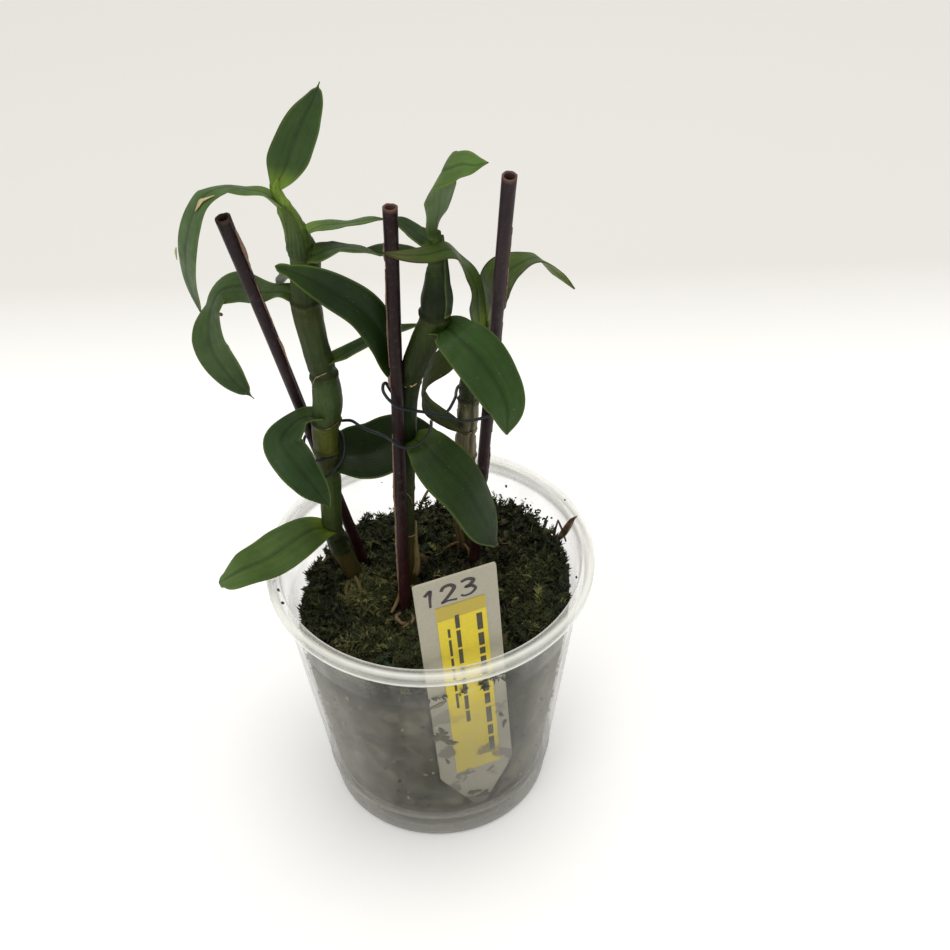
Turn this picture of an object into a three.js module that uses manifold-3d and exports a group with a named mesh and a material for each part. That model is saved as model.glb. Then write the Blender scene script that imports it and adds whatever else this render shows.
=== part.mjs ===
// Dendrobium orchid with three canes, staked and tied, in a clear plastic pot.
// Millimetres, +Z up. The origin is the centre of the pot's base; -Y is the label's side.
import * as THREE from 'three';
import { mergeVertices } from 'three/addons/utils/BufferGeometryUtils.js';
import Module from 'manifold-3d';

const wasm = await Module();
wasm.setup();

// ---------------------------------------------------------------- driving dimensions
const GAP = 0.3; // clearance between pieces that touch

const POT_HEIGHT = 83;
const RIM_OUTER_RADIUS = 44.2;
const BASE_RADIUS = 31.0;
const WALL_FOOT_RADIUS = 31.2; // inner radius of the wall at WALL_FOOT_Z
const WALL_FOOT_Z = 10;
const WALL_TAPER = 9 / 70; // growth of the inner radius per mm of height
const FLOOR_THICKNESS = 2;
const DRAIN_HOLE_RADIUS = 2.5;
const DRAIN_HOLE_CIRCLE = 20;
const DRAIN_HOLES = 6;
const POT_FACETS = 50;

const MEDIUM_TOP = 66.5;
const MEDIUM_LUMP = 1.3;

const STAKE_RADIUS = 1.5;
const STAKE_BORE_RADIUS = 1.05;
const STAKE_BORE_DEPTH = 16;
const STAKE_BURIED = 48; // length below the medium's surface

const CANE_SIDES = 12;
const CANE_STEPS = 2; // rings per interval between two listed stations

const LEAF_THICKNESS = 0.8;
const LEAF_EDGE_THICKNESS = 0.6;
const LEAF_SEGMENTS = 13;
const LEAF_ACROSS = 4; // strips over the width
const LEAF_TIP_WIDTH = 0.8;

const WIRE_RADIUS = 0.4;

const LABEL_WIDTH = 21;
const LABEL_ABOVE = 32; // above the point where it passes the rim's plane
const LABEL_BELOW = 56; // down to the shoulders of the point
const LABEL_POINT = 18.5;
const LABEL_THICKNESS = 0.8;
const STICKER_THICKNESS = 0.4;

// ---------------------------------------------------------------- placement of the stems
// Canes: [x, y, z, diameter] from the buried foot to the top.
const CANES = {
  cane_left: [
    [-20.6, 6.8, 54, 4.6], [-21.3, 6.4, 69, 5.0], [-23.3, 6, 76.5, 5.2], [-25.8, 5.5, 86.5, 5.1],
    [-25.7, 5.5, 96.5, 5.3], [-25.1, 5.5, 105, 5.2], [-25.3, 5, 114.5, 6.2], [-25.1, 5, 123, 6.9],
    [-23.7, 5, 133, 7.3], [-24.1, 5, 141.5, 6.7], [-25.5, 5, 151.5, 6.6], [-26.4, 5, 161.5, 7.2],
    [-26.2, 5, 168, 6.6], [-25.6, 5, 174.5, 7.0], [-26.3, 5, 179.5, 6.2], [-27.3, 5, 185, 4.6],
    [-29.1, 5, 190, 3.2], [-30.5, 5, 194.5, 2.5], [-30.2, 5, 198, 1.8],
  ],
  cane_middle: [
    [-7.3, 2.2, 54, 4.6], [-6.9, 1.5, 67, 5.2], [-6, 1.5, 79.5, 5.3], [-6.4, 1.5, 87, 5.4],
    [-6, 1.5, 101.5, 5.3], [-5.5, 1.5, 112, 5.5], [-4.6, 1.7, 125, 5.4], [-3.7, 1.6, 135, 5.2],
    [-2.5, 1.1, 141.5, 5.2], [-0.7, 0, 148, 6.3], [1.7, -0.5, 154.5, 6.7], [3.9, -1, 160.5, 6.9],
    [4.8, -1, 167, 7.0], [5.1, -1, 172.5, 5.2], [5.4, -1, 177.5, 4.0], [5.4, -0.8, 182, 2.8],
    [5.5, -0.8, 185.5, 2.2],
  ],
  cane_right: [
    [8.2, 19.8, 54, 4.6], [9.6, 18, 68.5, 5.2], [9.2, 18, 85.5, 5.2], [10.2, 17.5, 102.5, 5.4],
    [10.6, 17, 110.5, 4.8], [11.3, 17, 116.5, 5.0], [11.5, 16, 122.5, 4.7], [11.9, 15, 128.5, 5.1],
    [13.6, 14, 137, 5.1], [15, 12, 145, 4.5], [16, 10, 151, 3.0],
  ],
};

// Stakes: where each passes the medium's surface, and its top.
const STAKES = {
  stake_left: { foot: [-19.3, 13.5, 68], top: [-43.3, 5, 187.3] },
  stake_middle: { foot: [-7.4, -5.2, 68], top: [-4.6, 0, 192] },
  stake_right: { foot: [11.7, 12, 68], top: [22.1, -10, 205.3] },
};

// ---------------------------------------------------------------- leaves
// midrib: points from the base to the tip. heading: compass direction of the base, degrees from +X.
// roll: turn of the blade about its midrib, spread evenly from base to tip. fold: rise of each
// half towards its margin. neck: width at the base as a share of the widest. shoulder: where along
// the blade it is widest. taper: fullness towards the tip.
const LEAVES = {
  leaf_left_1: {
    cane: 'cane_left', heading: 90, roll: [5, 10, 0], width: 10, fold: 10, neck: 0.3, shoulder: 0.35,
    taper: 1.2,
    midrib: [[-30.5, 5.2, 195], [-28, 4.5, 200], [-25.5, 3.5, 206.5], [-22.5, 3.5, 213],
      [-20, 3.5, 217.5], [-18, 2, 222.5]],
  },
  leaf_left_2: {
    cane: 'cane_left', heading: 180, roll: [10, 20, 5, -5, -20], width: 10.5, fold: 0, neck: 0.5,
    shoulder: 0.5, taper: 1.4,
    midrib: [[-29.5, 5, 189], [-33.5, 5.5, 193], [-37.5, 5.5, 194], [-42, 6, 194.5], [-46.5, 3.5, 194],
      [-49.5, 2, 189.5], [-52, 1, 181.5], [-52.5, 1, 173], [-51, 1, 164]],
  },
  leaf_left_3: {
    cane: 'cane_left', heading: 0, roll: [5, -15, -10], width: 6, fold: 5, neck: 0.75, shoulder: 0.45,
    taper: 1.6,
    midrib: [[-24, 3.5, 183.5], [-21, 4.5, 184.5], [-15.5, 5, 184.5], [-9.5, 5, 185.5], [-6, 4.5, 186]],
  },
  leaf_left_4: {
    cane: 'cane_left', heading: -20, roll: [25, -15, -25], width: 8, fold: 1, neck: 0.7,
    shoulder: 0.45, taper: 1.2,
    midrib: [[-23.5, 2.2, 177.8], [-19.5, 0.5, 180.5], [-15.5, 0, 181.5], [-11, -1.5, 181.5],
      [-7.2, -3, 181]],
  },
  leaf_left_5: {
    cane: 'cane_left', heading: 115, roll: [0, -10, -5], width: 5.5, fold: 10, neck: 0.8,
    shoulder: 0.45, taper: 1.4,
    midrib: [[-27.4, 7.5, 169.6], [-29.5, 11.8, 168], [-31.2, 16, 164.2], [-33, 19.5, 159.8],
      [-35, 22, 155]],
  },
  leaf_left_6: {
    cane: 'cane_left', heading: 140, roll: [0, -10, -25, -15, -60, -70, -85], width: 10.5, fold: 2,
    neck: 0.5, shoulder: 0.6, taper: 1.7,
    midrib: [[-28.5, 5.5, 163], [-31.5, 9.5, 162.5], [-37, 12.7, 160.5], [-43, 14.2, 161.5],
      [-48, 15.5, 159.5], [-50, 13.5, 157], [-51.5, 11, 152.5], [-51.5, 10, 146], [-47.5, 9, 137.5],
      [-42.5, 8, 131.5]],
  },
  leaf_left_7: {
    cane: 'cane_left', heading: 8, roll: [10, -5, -5], width: 5.5, fold: 11, neck: 0.8,
    shoulder: 0.45, taper: 1.5,
    midrib: [[-22.5, 4.5, 144.8], [-18, 5.5, 147], [-14, 6, 149], [-8.5, 7, 151.5], [-3, 7, 153],
      [0.5, 7, 154]],
  },
  leaf_left_8: {
    cane: 'cane_left', heading: 200, roll: [15, -15, -65, -20], width: 10.5, fold: 0, neck: 0.6,
    shoulder: 0.4, taper: 1.5,
    midrib: [[-24.5, 2.5, 128.5], [-29.5, 3.2, 128.8], [-33, 1.5, 127.5], [-35.5, -2, 125.5],
      [-32.5, -5, 121], [-28, -6, 113], [-24.5, -5.5, 105.5]],
  },
  leaf_left_9: {
    cane: 'cane_left', heading: 15, roll: [40, 45, 50], width: 15.5, fold: 18, neck: 0.6, shoulder: 0.4,
    taper: 1.6,
    midrib: [[-24, 5.8, 112.8], [-19, 7, 113], [-14, 8.7, 112.3], [-9, 11, 113.2], [-3, 12.4, 114.9],
      [3, 12.5, 115.6]],
  },
  leaf_left_10: {
    cane: 'cane_left', heading: 215, roll: [-10, -5, 15], width: 13.5, fold: 2, neck: 0.35,
    shoulder: 0.5, taper: 2.5,
    midrib: [[-26, 5.5, 87.5], [-30.5, 1.5, 91.5], [-36.5, -3.5, 91.5], [-42.5, -8, 90.5],
      [-49, -11.5, 90], [-55, -12.5, 86.5]],
  },
  leaf_middle_1: {
    cane: 'cane_middle', heading: -60, roll: [30, 20, 15, 40, 40, 35], width: 10.5, fold: 1, neck: 0.25,
    shoulder: 0.5, taper: 1.5,
    midrib: [[5.4, -1.1, 184], [5.5, -2.3, 189], [6.5, -3, 194], [7, -4, 199], [7.5, -5.5, 204],
      [9.5, -7.5, 206], [12, -8.5, 207.5], [15, -10, 208], [17.5, -12, 210]],
  },
  leaf_middle_2: {
    cane: 'cane_middle', heading: 160, roll: [-20, 10, 0], width: 6.5, fold: 7, neck: 0.6,
    shoulder: 0.45, taper: 1.5,
    midrib: [[4.8, -0.7, 182], [1.5, 0.5, 184], [-1, 2.5, 185], [-3.2, 3.7, 186], [-4.5, 4.2, 186.4]],
  },
  leaf_middle_3: {
    cane: 'cane_middle', heading: 158, roll: [-15, -5, -20], width: 5, fold: 3, neck: 0.6,
    shoulder: 0.45, taper: 1.4,
    midrib: [[4.2, -0.7, 178.5], [0, 1.5, 177.8], [-3.5, 3.7, 177.6], [-7.5, 5.2, 177.2],
      [-11.5, 6.2, 177]],
  },
  leaf_middle_4: {
    cane: 'cane_middle', heading: -10, roll: [-10, 10, -10, -10], width: 13.5, fold: 5, neck: 0.5,
    shoulder: 0.5, taper: 2.2,
    midrib: [[3, -2, 157.5], [7.5, -3.5, 160], [9.5, -6.5, 160], [13.5, -9, 157], [17, -11.5, 152.5],
      [20.5, -14.5, 145.5], [20.5, -18.5, 139.5]],
  },
  leaf_middle_5: {
    cane: 'cane_middle', heading: 180, roll: [-45, -60, -60], width: 9.5, fold: 14, neck: 0.4,
    shoulder: 0.45, taper: 1.9,
    midrib: [[-4.5, 2.2, 138.5], [-7, 2.5, 144.5], [-8.5, 2, 153.5], [-12.5, 1, 163], [-18.5, -1.6, 170.5],
      [-25.5, -3.1, 176.3], [-31.5, -3.8, 179.6]],
  },
  leaf_middle_6: {
    cane: 'cane_middle', heading: -35, roll: [15, -15, -25], width: 16.5, fold: -2, neck: 0.35,
    shoulder: 0.45, taper: 2.6,
    midrib: [[-2.4, 0, 123], [0.5, -4, 124.5], [4.5, -8, 122], [10, -11.5, 116.5], [14, -14, 109],
      [17.5, -16.5, 101]],
  },
  leaf_right_1: {
    cane: 'cane_right', heading: 10, roll: [5, 30, -35, 0], width: 11.5, fold: 3, neck: 0.4,
    shoulder: 0.4, taper: 1.3,
    midrib: [[16.8, 12.2, 148.5], [17.8, 11.8, 156.2], [19.5, 10, 163], [25, 9, 168], [29, 9, 170.5],
      [34, 8.5, 167.5], [38, 8.5, 162]],
  },
  leaf_right_2: {
    cane: 'cane_right', heading: 215, roll: [-85, -75, -30, 0, -25], width: 7, fold: 2, neck: 0.5,
    shoulder: 0.5, taper: 1.8,
    midrib: [[14.8, 10, 146.5], [14.5, 7, 159.5], [14, 4, 167.5], [11.5, -0.8, 175.7],
      [8.5, -5, 183.3], [3, -7.4, 183.8], [-2.5, -9, 185], [-6.5, -10, 186.5]],
  },
  leaf_right_3: {
    cane: 'cane_right', heading: 200, roll: [-15, -15, -30, 10], width: 8, fold: 2, neck: 0.4,
    shoulder: 0.5, taper: 1.7,
    midrib: [[10, 15.5, 112], [6, 13, 118.5], [2, 11, 124], [0, 9.5, 130], [2.5, 9, 137],
      [6.5, 8.5, 140], [10.5, 8, 145]],
  },
};

// Dead bract leaning on the wall at the right.
const BRACT = {
  midrib: [[35.9, 12.8, 71], [36.7, 12.1, 76.5], [37.8, 10.9, 82], [39.6, 8.8, 87.5]],
  heading: 20, roll: [0, 20, 0], width: 3.4, fold: 25, neck: 0.6, shoulder: 0.4, taper: 1.2,
};

// ---------------------------------------------------------------- wire ties
const TIES = {
  tie_left: [
    [-25.9, 0.3, 111.2], [-24.5, 0.4, 112.1], [-22.4, 1.1, 114], [-20.9, 3, 115.6], [-20.6, 4.8, 117.4],
    [-21.6, 8.2, 119.4], [-25, 9.8, 119.4], [-28, 12.6, 117.5], [-30.9, 11.6, 116], [-31.4, 8.8, 115.6],
    [-29.6, 4.4, 115.3], [-28.4, 2.2, 115.3], [-25.5, 1, 116.3], [-22.9, 1.7, 116.2],
  ],
  tie_middle: [
    [-25, 9.8, 123.5], [-21.7, 7.8, 123.8], [-18, 4, 126.6], [-15.9, 2, 126.5], [-13.3, -0.5, 126.9],
    [-9.6, -4.3, 128.3], [-7.6, -5.8, 127.9], [-6.4, -6.2, 126.9], [-4.5, -6.3, 125.9],
    [-3.3, -6.2, 125.7], [-1.2, -5.8, 126.3], [0.8, -5, 127.8], [2.1, -4, 130.2], [2.4, -3.6, 131.8],
  ],
  tie_right: [
    [6.3, -0.8, 133.4], [7, 1, 132.6], [7.6, 4, 131.5], [8.6, 9.5, 130.4], [8.6, 13.5, 130.2],
    [9.4, 17.3, 130], [12.4, 18.9, 130], [15.8, 17, 130], [19.6, 8, 130], [19.6, 2.5, 130.3],
    [18.4, -0.3, 130.6], [16.7, -0.8, 130.9], [14.4, -1.1, 130.3], [11.4, -1.2, 129.8],
    [9.4, -1.6, 130.2], [6.4, -2.2, 132.1], [3.5, -3, 133.5], [0.6, -3.8, 135.2], [-1.3, -4.3, 136],
    [-4.2, -5, 137.3], [-6.1, -5.2, 138.5], [-7.2, -5, 139.7], [-8.4, -4.2, 140.9],
    [-9.1, -3, 141.9], [-8.9, -2, 142.9], [-8.4, -1.6, 142.9], [-7.9, -0.9, 141.2], [-7.3, 1.2, 137.8],
    [-6.7, 3.9, 134.6], [-3.9, 5.6, 134], [-1.9, 6.2, 134.2], [-1.2, 7.4, 132.8],
  ],
};

// Label: the point where its centre line passes the rim's plane, and its turns in degrees.
const LABEL = { centre: [8.3, -35.9, POT_HEIGHT], yaw: 17.5, lean: 6.5, spin: 4.5 };
const STICKER = { left: -5.7, right: 7, top: 21.5, bottom: -55 };

// ---------------------------------------------------------------- materials
function paint(colour, roughness, extra = {}) {
  return new THREE.MeshStandardMaterial({ color: colour, roughness, metalness: 0, ...extra });
}
const MATERIALS = {
  clearPlastic: paint(0xdfe3dd, 0.25, { transparent: true, opacity: 0.45 }),
  medium: paint(0x2b2419, 0.95),
  cane: paint(0x41492a, 0.6),
  caneYoung: paint(0x46603a, 0.5),
  leaf: paint(0x2f4a2c, 0.45),
  leafRight: paint(0x4a5534, 0.45),
  stake: paint(0x3a2f30, 0.45),
  wire: paint(0x1c3a3c, 0.35),
  label: paint(0xe9e9e6, 0.4),
  sticker: paint(0xe8d43a, 0.6),
  bract: paint(0x5a3a22, 0.8),
};

// ---------------------------------------------------------------- geometry helpers
const vec = (p) => new THREE.Vector3(p[0], p[1], p[2]);
const rad = THREE.MathUtils.degToRad;
const curveOf = (points) => new THREE.CatmullRomCurve3(points.map(vec), false, 'centripetal');

// Value at s (0..1) of a list that is spread evenly over 0..1.
function spread(list, s) {
  const at = Math.min(Math.max(s, 0), 1) * (list.length - 1);
  const i = Math.min(Math.floor(at), list.length - 2);
  return list[i] + (list[i + 1] - list[i]) * (at - i);
}

function geometryOf(vertices, triangles) {
  const geometry = new THREE.BufferGeometry();
  const flat = vertices.flatMap((v) => [v.x, v.y, v.z]);
  geometry.setAttribute('position', new THREE.Float32BufferAttribute(flat, 3));
  geometry.setIndex(triangles);
  geometry.computeVertexNormals();
  return geometry;
}

// Unit tangents of a row of points, and side vectors carried along it without twist.
function framesAlong(points, side) {
  const last = points.length - 1;
  const tangents = points.map((p, i) =>
    points[Math.min(i + 1, last)].clone().sub(points[Math.max(i - 1, 0)]).normalize());
  const sides = [];
  let carried = side.clone();
  for (const tangent of tangents) {
    carried = carried.clone().addScaledVector(tangent, -carried.dot(tangent)).normalize();
    sides.push(carried);
  }
  return { tangents, sides };
}

// Round stem through stations [x, y, z, diameter], with flat ends.
function stemGeometry(stations, grow = 0) {
  const curve = curveOf(stations);
  const count = (stations.length - 1) * CANE_STEPS;
  const centres = Array.from({ length: count + 1 }, (_, i) => curve.getPoint(i / count));
  const { tangents, sides } = framesAlong(centres, new THREE.Vector3(1, 0, 0));
  const vertices = [];
  centres[0].addScaledVector(tangents[0], -grow);
  centres[count].addScaledVector(tangents[count], grow);
  centres.forEach((centre, i) => {
    const radius = spread(stations.map((s) => s[3] / 2), i / count) + grow;
    const up = tangents[i].clone().cross(sides[i]);
    for (let k = 0; k < CANE_SIDES; k += 1) {
      const angle = (2 * Math.PI * k) / CANE_SIDES;
      vertices.push(centre.clone().addScaledVector(sides[i], radius * Math.cos(angle))
        .addScaledVector(up, radius * Math.sin(angle)));
    }
  });
  vertices.push(centres[0], centres[count]);
  const triangles = [];
  for (let k = 0; k < CANE_SIDES; k += 1) {
    const next = (k + 1) % CANE_SIDES;
    for (let i = 0; i < count; i += 1) {
      const a = i * CANE_SIDES;
      const b = a + CANE_SIDES;
      triangles.push(a + k, a + next, b + next, a + k, b + next, b + k);
    }
    triangles.push(vertices.length - 2, next, k);
    triangles.push(vertices.length - 1, count * CANE_SIDES + k, count * CANE_SIDES + next);
  }
  return geometryOf(vertices, triangles);
}

// Share of the full width at s (0 base, 1 tip).
function outline(s, { neck, shoulder, taper }) {
  if (s < shoulder) return neck + (1 - neck) * Math.sin((Math.PI / 2) * (s / shoulder));
  return Math.cos((Math.PI / 2) * ((s - shoulder) / (1 - shoulder)) ** taper);
}

// Thin blade with both faces split alike.
function bladeGeometry(leaf) {
  const centres = curveOf(leaf.midrib).getSpacedPoints(LEAF_SEGMENTS);
  const turn = rad(leaf.heading);
  const level = new THREE.Vector3(-Math.sin(turn), Math.cos(turn), 0);
  const { tangents, sides } = framesAlong(centres, level);
  const upper = [];
  const lower = [];
  centres.forEach((centre, i) => {
    const s = i / LEAF_SEGMENTS;
    const roll = rad(spread(leaf.roll, s));
    const normal = tangents[i].clone().cross(sides[i]);
    const across = sides[i].clone().multiplyScalar(Math.cos(roll)).addScaledVector(normal, Math.sin(roll));
    const out = tangents[i].clone().cross(across);
    const half = Math.max(leaf.width * outline(s, leaf), LEAF_TIP_WIDTH) / 2;
    for (let k = 0; k <= LEAF_ACROSS; k += 1) {
      const x = (2 * k) / LEAF_ACROSS - 1;
      const rise = half * Math.abs(x) * Math.sin(rad(leaf.fold));
      const thick = (LEAF_THICKNESS + (LEAF_EDGE_THICKNESS - LEAF_THICKNESS) * Math.abs(x)) / 2;
      const middle = centre.clone().addScaledVector(across, half * x * Math.cos(rad(leaf.fold)))
        .addScaledVector(out, rise);
      upper.push(middle.clone().addScaledVector(out, thick));
      lower.push(middle.clone().addScaledVector(out, -thick));
    }
  });
  const row = LEAF_ACROSS + 1;
  const under = upper.length;
  const triangles = [];
  const quad = (a, b, c, d) => triangles.push(a, b, c, a, c, d);
  for (let i = 0; i < LEAF_SEGMENTS; i += 1) {
    for (let k = 0; k < LEAF_ACROSS; k += 1) {
      const a = i * row + k;
      triangles.push(a, a + row, a + row + 1, a, a + row + 1, a + 1);
      triangles.push(under + a, under + a + row + 1, under + a + row);
      triangles.push(under + a, under + a + 1, under + a + row + 1);
    }
    const first = i * row;
    const end = first + LEAF_ACROSS;
    quad(first, under + first, under + first + row, first + row);
    quad(end, end + row, under + end + row, under + end);
  }
  const tip = LEAF_SEGMENTS * row;
  for (let k = 0; k < LEAF_ACROSS; k += 1) {
    quad(k, k + 1, under + k + 1, under + k);
    quad(tip + k, under + tip + k, under + tip + k + 1, tip + k + 1);
  }
  return geometryOf([...upper, ...lower], triangles);
}

// Round wire along a path.
function wireGeometry(points) {
  const shape = new THREE.Shape();
  shape.absarc(0, 0, WIRE_RADIUS, 0, 2 * Math.PI);
  return new THREE.ExtrudeGeometry(shape, {
    steps: (points.length - 1) * 2, curveSegments: 3, bevelEnabled: false, extrudePath: curveOf(points),
  });
}

// Body of revolution about +Z from [radius, z] points.
function turned(profile, facets) {
  const points = profile.map(([r, z]) => new THREE.Vector2(r, z));
  return new THREE.LatheGeometry(points, facets).rotateX(Math.PI / 2);
}

// ---------------------------------------------------------------- solids for cuts
function solidOf(geometry) {
  const bare = geometry.clone();
  bare.deleteAttribute('normal');
  bare.deleteAttribute('uv');
  const merged = mergeVertices(bare, 1e-3);
  return new wasm.Manifold(new wasm.Mesh({
    numProp: 3,
    vertProperties: merged.attributes.position.array,
    triVerts: new Uint32Array(merged.index.array),
  }));
}

function geometryFrom(solid) {
  const mesh = solid.getMesh();
  const geometry = new THREE.BufferGeometry();
  geometry.setAttribute('position', new THREE.Float32BufferAttribute(mesh.vertProperties, 3));
  geometry.setIndex([...mesh.triVerts]);
  geometry.computeVertexNormals();
  return geometry;
}

// ---------------------------------------------------------------- pot
const innerRadius = (z) => WALL_FOOT_RADIUS + (z - WALL_FOOT_Z) * WALL_TAPER;

function potGeometry() {
  const top = POT_HEIGHT;
  const profile = [
    [0, 0], [BASE_RADIUS - 0.8, 0], [BASE_RADIUS, 0.8], [BASE_RADIUS + 1.1, 9.2], [BASE_RADIUS + 1.7, 10.2],
    [innerRadius(60) + 1.2, 60], [innerRadius(78) + 1.2, 78], [RIM_OUTER_RADIUS - 0.9, 78.4],
    [RIM_OUTER_RADIUS - 0.3, 79], [RIM_OUTER_RADIUS, 81.6], [RIM_OUTER_RADIUS - 0.6, top - 0.4],
    [RIM_OUTER_RADIUS - 1.5, top], [RIM_OUTER_RADIUS - 2.3, top - 0.5], [RIM_OUTER_RADIUS - 3, top - 0.3],
    [RIM_OUTER_RADIUS - 3.5, top - 1], [innerRadius(78), 78], [innerRadius(60), 60],
    [innerRadius(10.6), 10.6], [BASE_RADIUS - 0.9, 9.4], [BASE_RADIUS - 1.7, FLOOR_THICKNESS],
    [0, FLOOR_THICKNESS],
  ];
  let pot = solidOf(turned(profile, POT_FACETS));
  for (let i = 0; i < DRAIN_HOLES; i += 1) {
    const angle = (2 * Math.PI * (i + 0.5)) / DRAIN_HOLES;
    const drill = new THREE.CylinderGeometry(DRAIN_HOLE_RADIUS, DRAIN_HOLE_RADIUS, 8, 16)
      .rotateX(Math.PI / 2)
      .translate(DRAIN_HOLE_CIRCLE * Math.cos(angle), DRAIN_HOLE_CIRCLE * Math.sin(angle), 1);
    pot = pot.subtract(solidOf(drill));
  }
  return geometryFrom(pot);
}

// ---------------------------------------------------------------- growing medium
// Repeatable pseudo-random number 0..1 for a grid cell.
function scatter(i, j) {
  const s = Math.sin(i * 127.1 + j * 311.7) * 43758.5453;
  return s - Math.floor(s);
}

// Bumps of moss: [x, y, radius, height].
const MOUNDS = [[-17, -1, 8, 3], [-17, -18, 6, 2], [10, 22, 7, 2], [2, -22, 10, 1]];

// Along the wall, every 15 degrees from +X: how far the filling has shrunk from the wall, and how
// much higher than its middle it lies there.
const EDGE_INSETS = [0, 0, 0, 0, 0, 0.4, 1.6, 4.5, 1.6, 2.6, 3, 2.2, 2.8, 0.6, 0, 0, 0, 0, 0, 0, 0, 0, 0, 0, 0];
const EDGE_RISES = [4.5, 4.5, 4, 5, 3.5, 0.8, 0.5, 0, 1, 0.8, 0, 0, 0.5, 0, 0, 0, 0, 0, 0, 0, 0, 0, 1, 3, 4.5];

function mediumHeight(x, y) {
  const turn = (Math.atan2(y, x) / (2 * Math.PI) + 1) % 1;
  const outward = Math.min(Math.max((Math.hypot(x, y) / innerRadius(64) - 0.5) / 0.45, 0), 1);
  const waves = Math.sin(0.31 * x + 0.4) * Math.cos(0.27 * y - 0.6) + 0.6 * Math.sin(0.53 * x - 0.61 * y);
  let z = MEDIUM_TOP + 0.55 * waves + spread(EDGE_RISES, turn) * outward ** 1.5;
  for (const [mx, my, radius, height] of MOUNDS) {
    z += height * Math.exp(-((x - mx) ** 2 + (y - my) ** 2) / (radius * radius));
  }
  return z;
}

function mediumGeometry() {
  const columns = 44;
  const rings = [0.955, 0.87, 0.77, 0.66, 0.55, 0.43, 0.3, 0.15];
  const vertices = [new THREE.Vector3(0, 0, FLOOR_THICKNESS + GAP)];
  const walls = [
    [(BASE_RADIUS - 1.7) - GAP - 0.2, FLOOR_THICKNESS + GAP], [BASE_RADIUS - 0.9 - 2 * GAP, 9],
    [innerRadius(12) - GAP - 0.1, 12], [innerRadius(53) - GAP - 0.1, 53],
  ];
  for (const [radius, z] of walls) {
    for (let j = 0; j < columns; j += 1) {
      const angle = (2 * Math.PI * j) / columns;
      vertices.push(new THREE.Vector3(radius * Math.cos(angle), radius * Math.sin(angle), z));
    }
  }
  const edge = innerRadius(64) - GAP - 0.2;
  [1, ...rings].forEach((share, i) => {
    for (let j = 0; j < columns; j += 1) {
      const angle = (2 * Math.PI * j) / columns;
      const ragged = i === 0 ? 0 : 1.1 * (scatter(i, j + 7) - 0.5);
      const radius = share * (edge - spread(EDGE_INSETS, j / columns)) + ragged;
      const x = radius * Math.cos(angle);
      const y = radius * Math.sin(angle);
      const drop = i === 0 ? 1.4 : 0;
      const lump = MEDIUM_LUMP * (2 * scatter(i + 3, j) - 1);
      vertices.push(new THREE.Vector3(x, y, mediumHeight(x, y) - drop + lump * (i === 0 ? 0.4 : 1)));
    }
  });
  vertices.push(new THREE.Vector3(0, 0, mediumHeight(0, 0)));
  const rows = walls.length + 1 + rings.length;
  const triangles = [];
  for (let j = 0; j < columns; j += 1) {
    const next = (j + 1) % columns;
    triangles.push(0, 1 + next, 1 + j);
    for (let i = 0; i < rows - 1; i += 1) {
      const a = 1 + i * columns;
      const b = a + columns;
      triangles.push(a + j, a + next, b + next, a + j, b + next, b + j);
    }
    const c = 1 + (rows - 1) * columns;
    triangles.push(c + j, c + next, vertices.length - 1);
  }
  let medium = solidOf(geometryOf(vertices, triangles));
  for (const stations of Object.values(CANES)) medium = medium.subtract(solidOf(stemGeometry(stations, GAP)));
  for (const name of Object.keys(STAKES)) medium = medium.subtract(solidOf(stakeHole(name)));
  medium = medium.subtract(solidOf(labelSlot()));
  return geometryFrom(medium);
}

// ---------------------------------------------------------------- stakes
// Turns and moves a shape built along +Z so that +Z runs from foot to top.
function alongStake(geometry, { foot, top }) {
  const axis = vec(top).sub(vec(foot)).normalize();
  const turn = new THREE.Quaternion().setFromUnitVectors(new THREE.Vector3(0, 0, 1), axis);
  const start = vec(foot).addScaledVector(axis, -STAKE_BURIED);
  return geometry.applyQuaternion(turn).translate(start.x, start.y, start.z);
}

function stakeGeometry(name) {
  const { foot, top } = STAKES[name];
  const length = vec(top).distanceTo(vec(foot)) + STAKE_BURIED;
  const profile = [
    [0, 0], [STAKE_RADIUS, 0], [STAKE_RADIUS, length], [STAKE_BORE_RADIUS, length],
    [STAKE_BORE_RADIUS, length - STAKE_BORE_DEPTH], [0, length - STAKE_BORE_DEPTH],
  ];
  return alongStake(turned(profile, 20), STAKES[name]);
}

function stakeHole(name) {
  const profile = [
    [0, -GAP], [STAKE_RADIUS + GAP, -GAP], [STAKE_RADIUS + GAP, STAKE_BURIED + 20], [0, STAKE_BURIED + 20],
  ];
  return alongStake(turned(profile, 20), STAKES[name]);
}

// ---------------------------------------------------------------- label
// Extrudes a flat outline and places it on the label's plane, `front` mm before its middle plane.
function onLabel(points, thickness, front) {
  const shape = new THREE.Shape(points.map(([x, y]) => new THREE.Vector2(x, y)));
  const geometry = new THREE.ExtrudeGeometry(shape, { depth: thickness, bevelEnabled: false });
  geometry.translate(0, 0, front - thickness / 2); // outline in XY, front face towards +Z
  geometry.rotateZ(rad(LABEL.spin));
  geometry.rotateX(Math.PI / 2 + rad(LABEL.lean));
  geometry.rotateZ(rad(LABEL.yaw));
  return geometry.translate(...LABEL.centre);
}

function labelOutline(grow = 0) {
  const half = LABEL_WIDTH / 2 + grow;
  const top = LABEL_ABOVE + grow;
  return [
    [-half, top], [-half, -LABEL_BELOW], [-1.6 - grow, -LABEL_BELOW - LABEL_POINT - grow],
    [1.6 + grow, -LABEL_BELOW - LABEL_POINT - grow], [half, -LABEL_BELOW], [half, top],
  ];
}

// The slot reaches out past the wall, so that no sliver of medium is left before the label.
function labelSlot() {
  const reach = 24;
  return onLabel(labelOutline(GAP), reach, reach / 2 - LABEL_THICKNESS / 2 - GAP);
}

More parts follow.
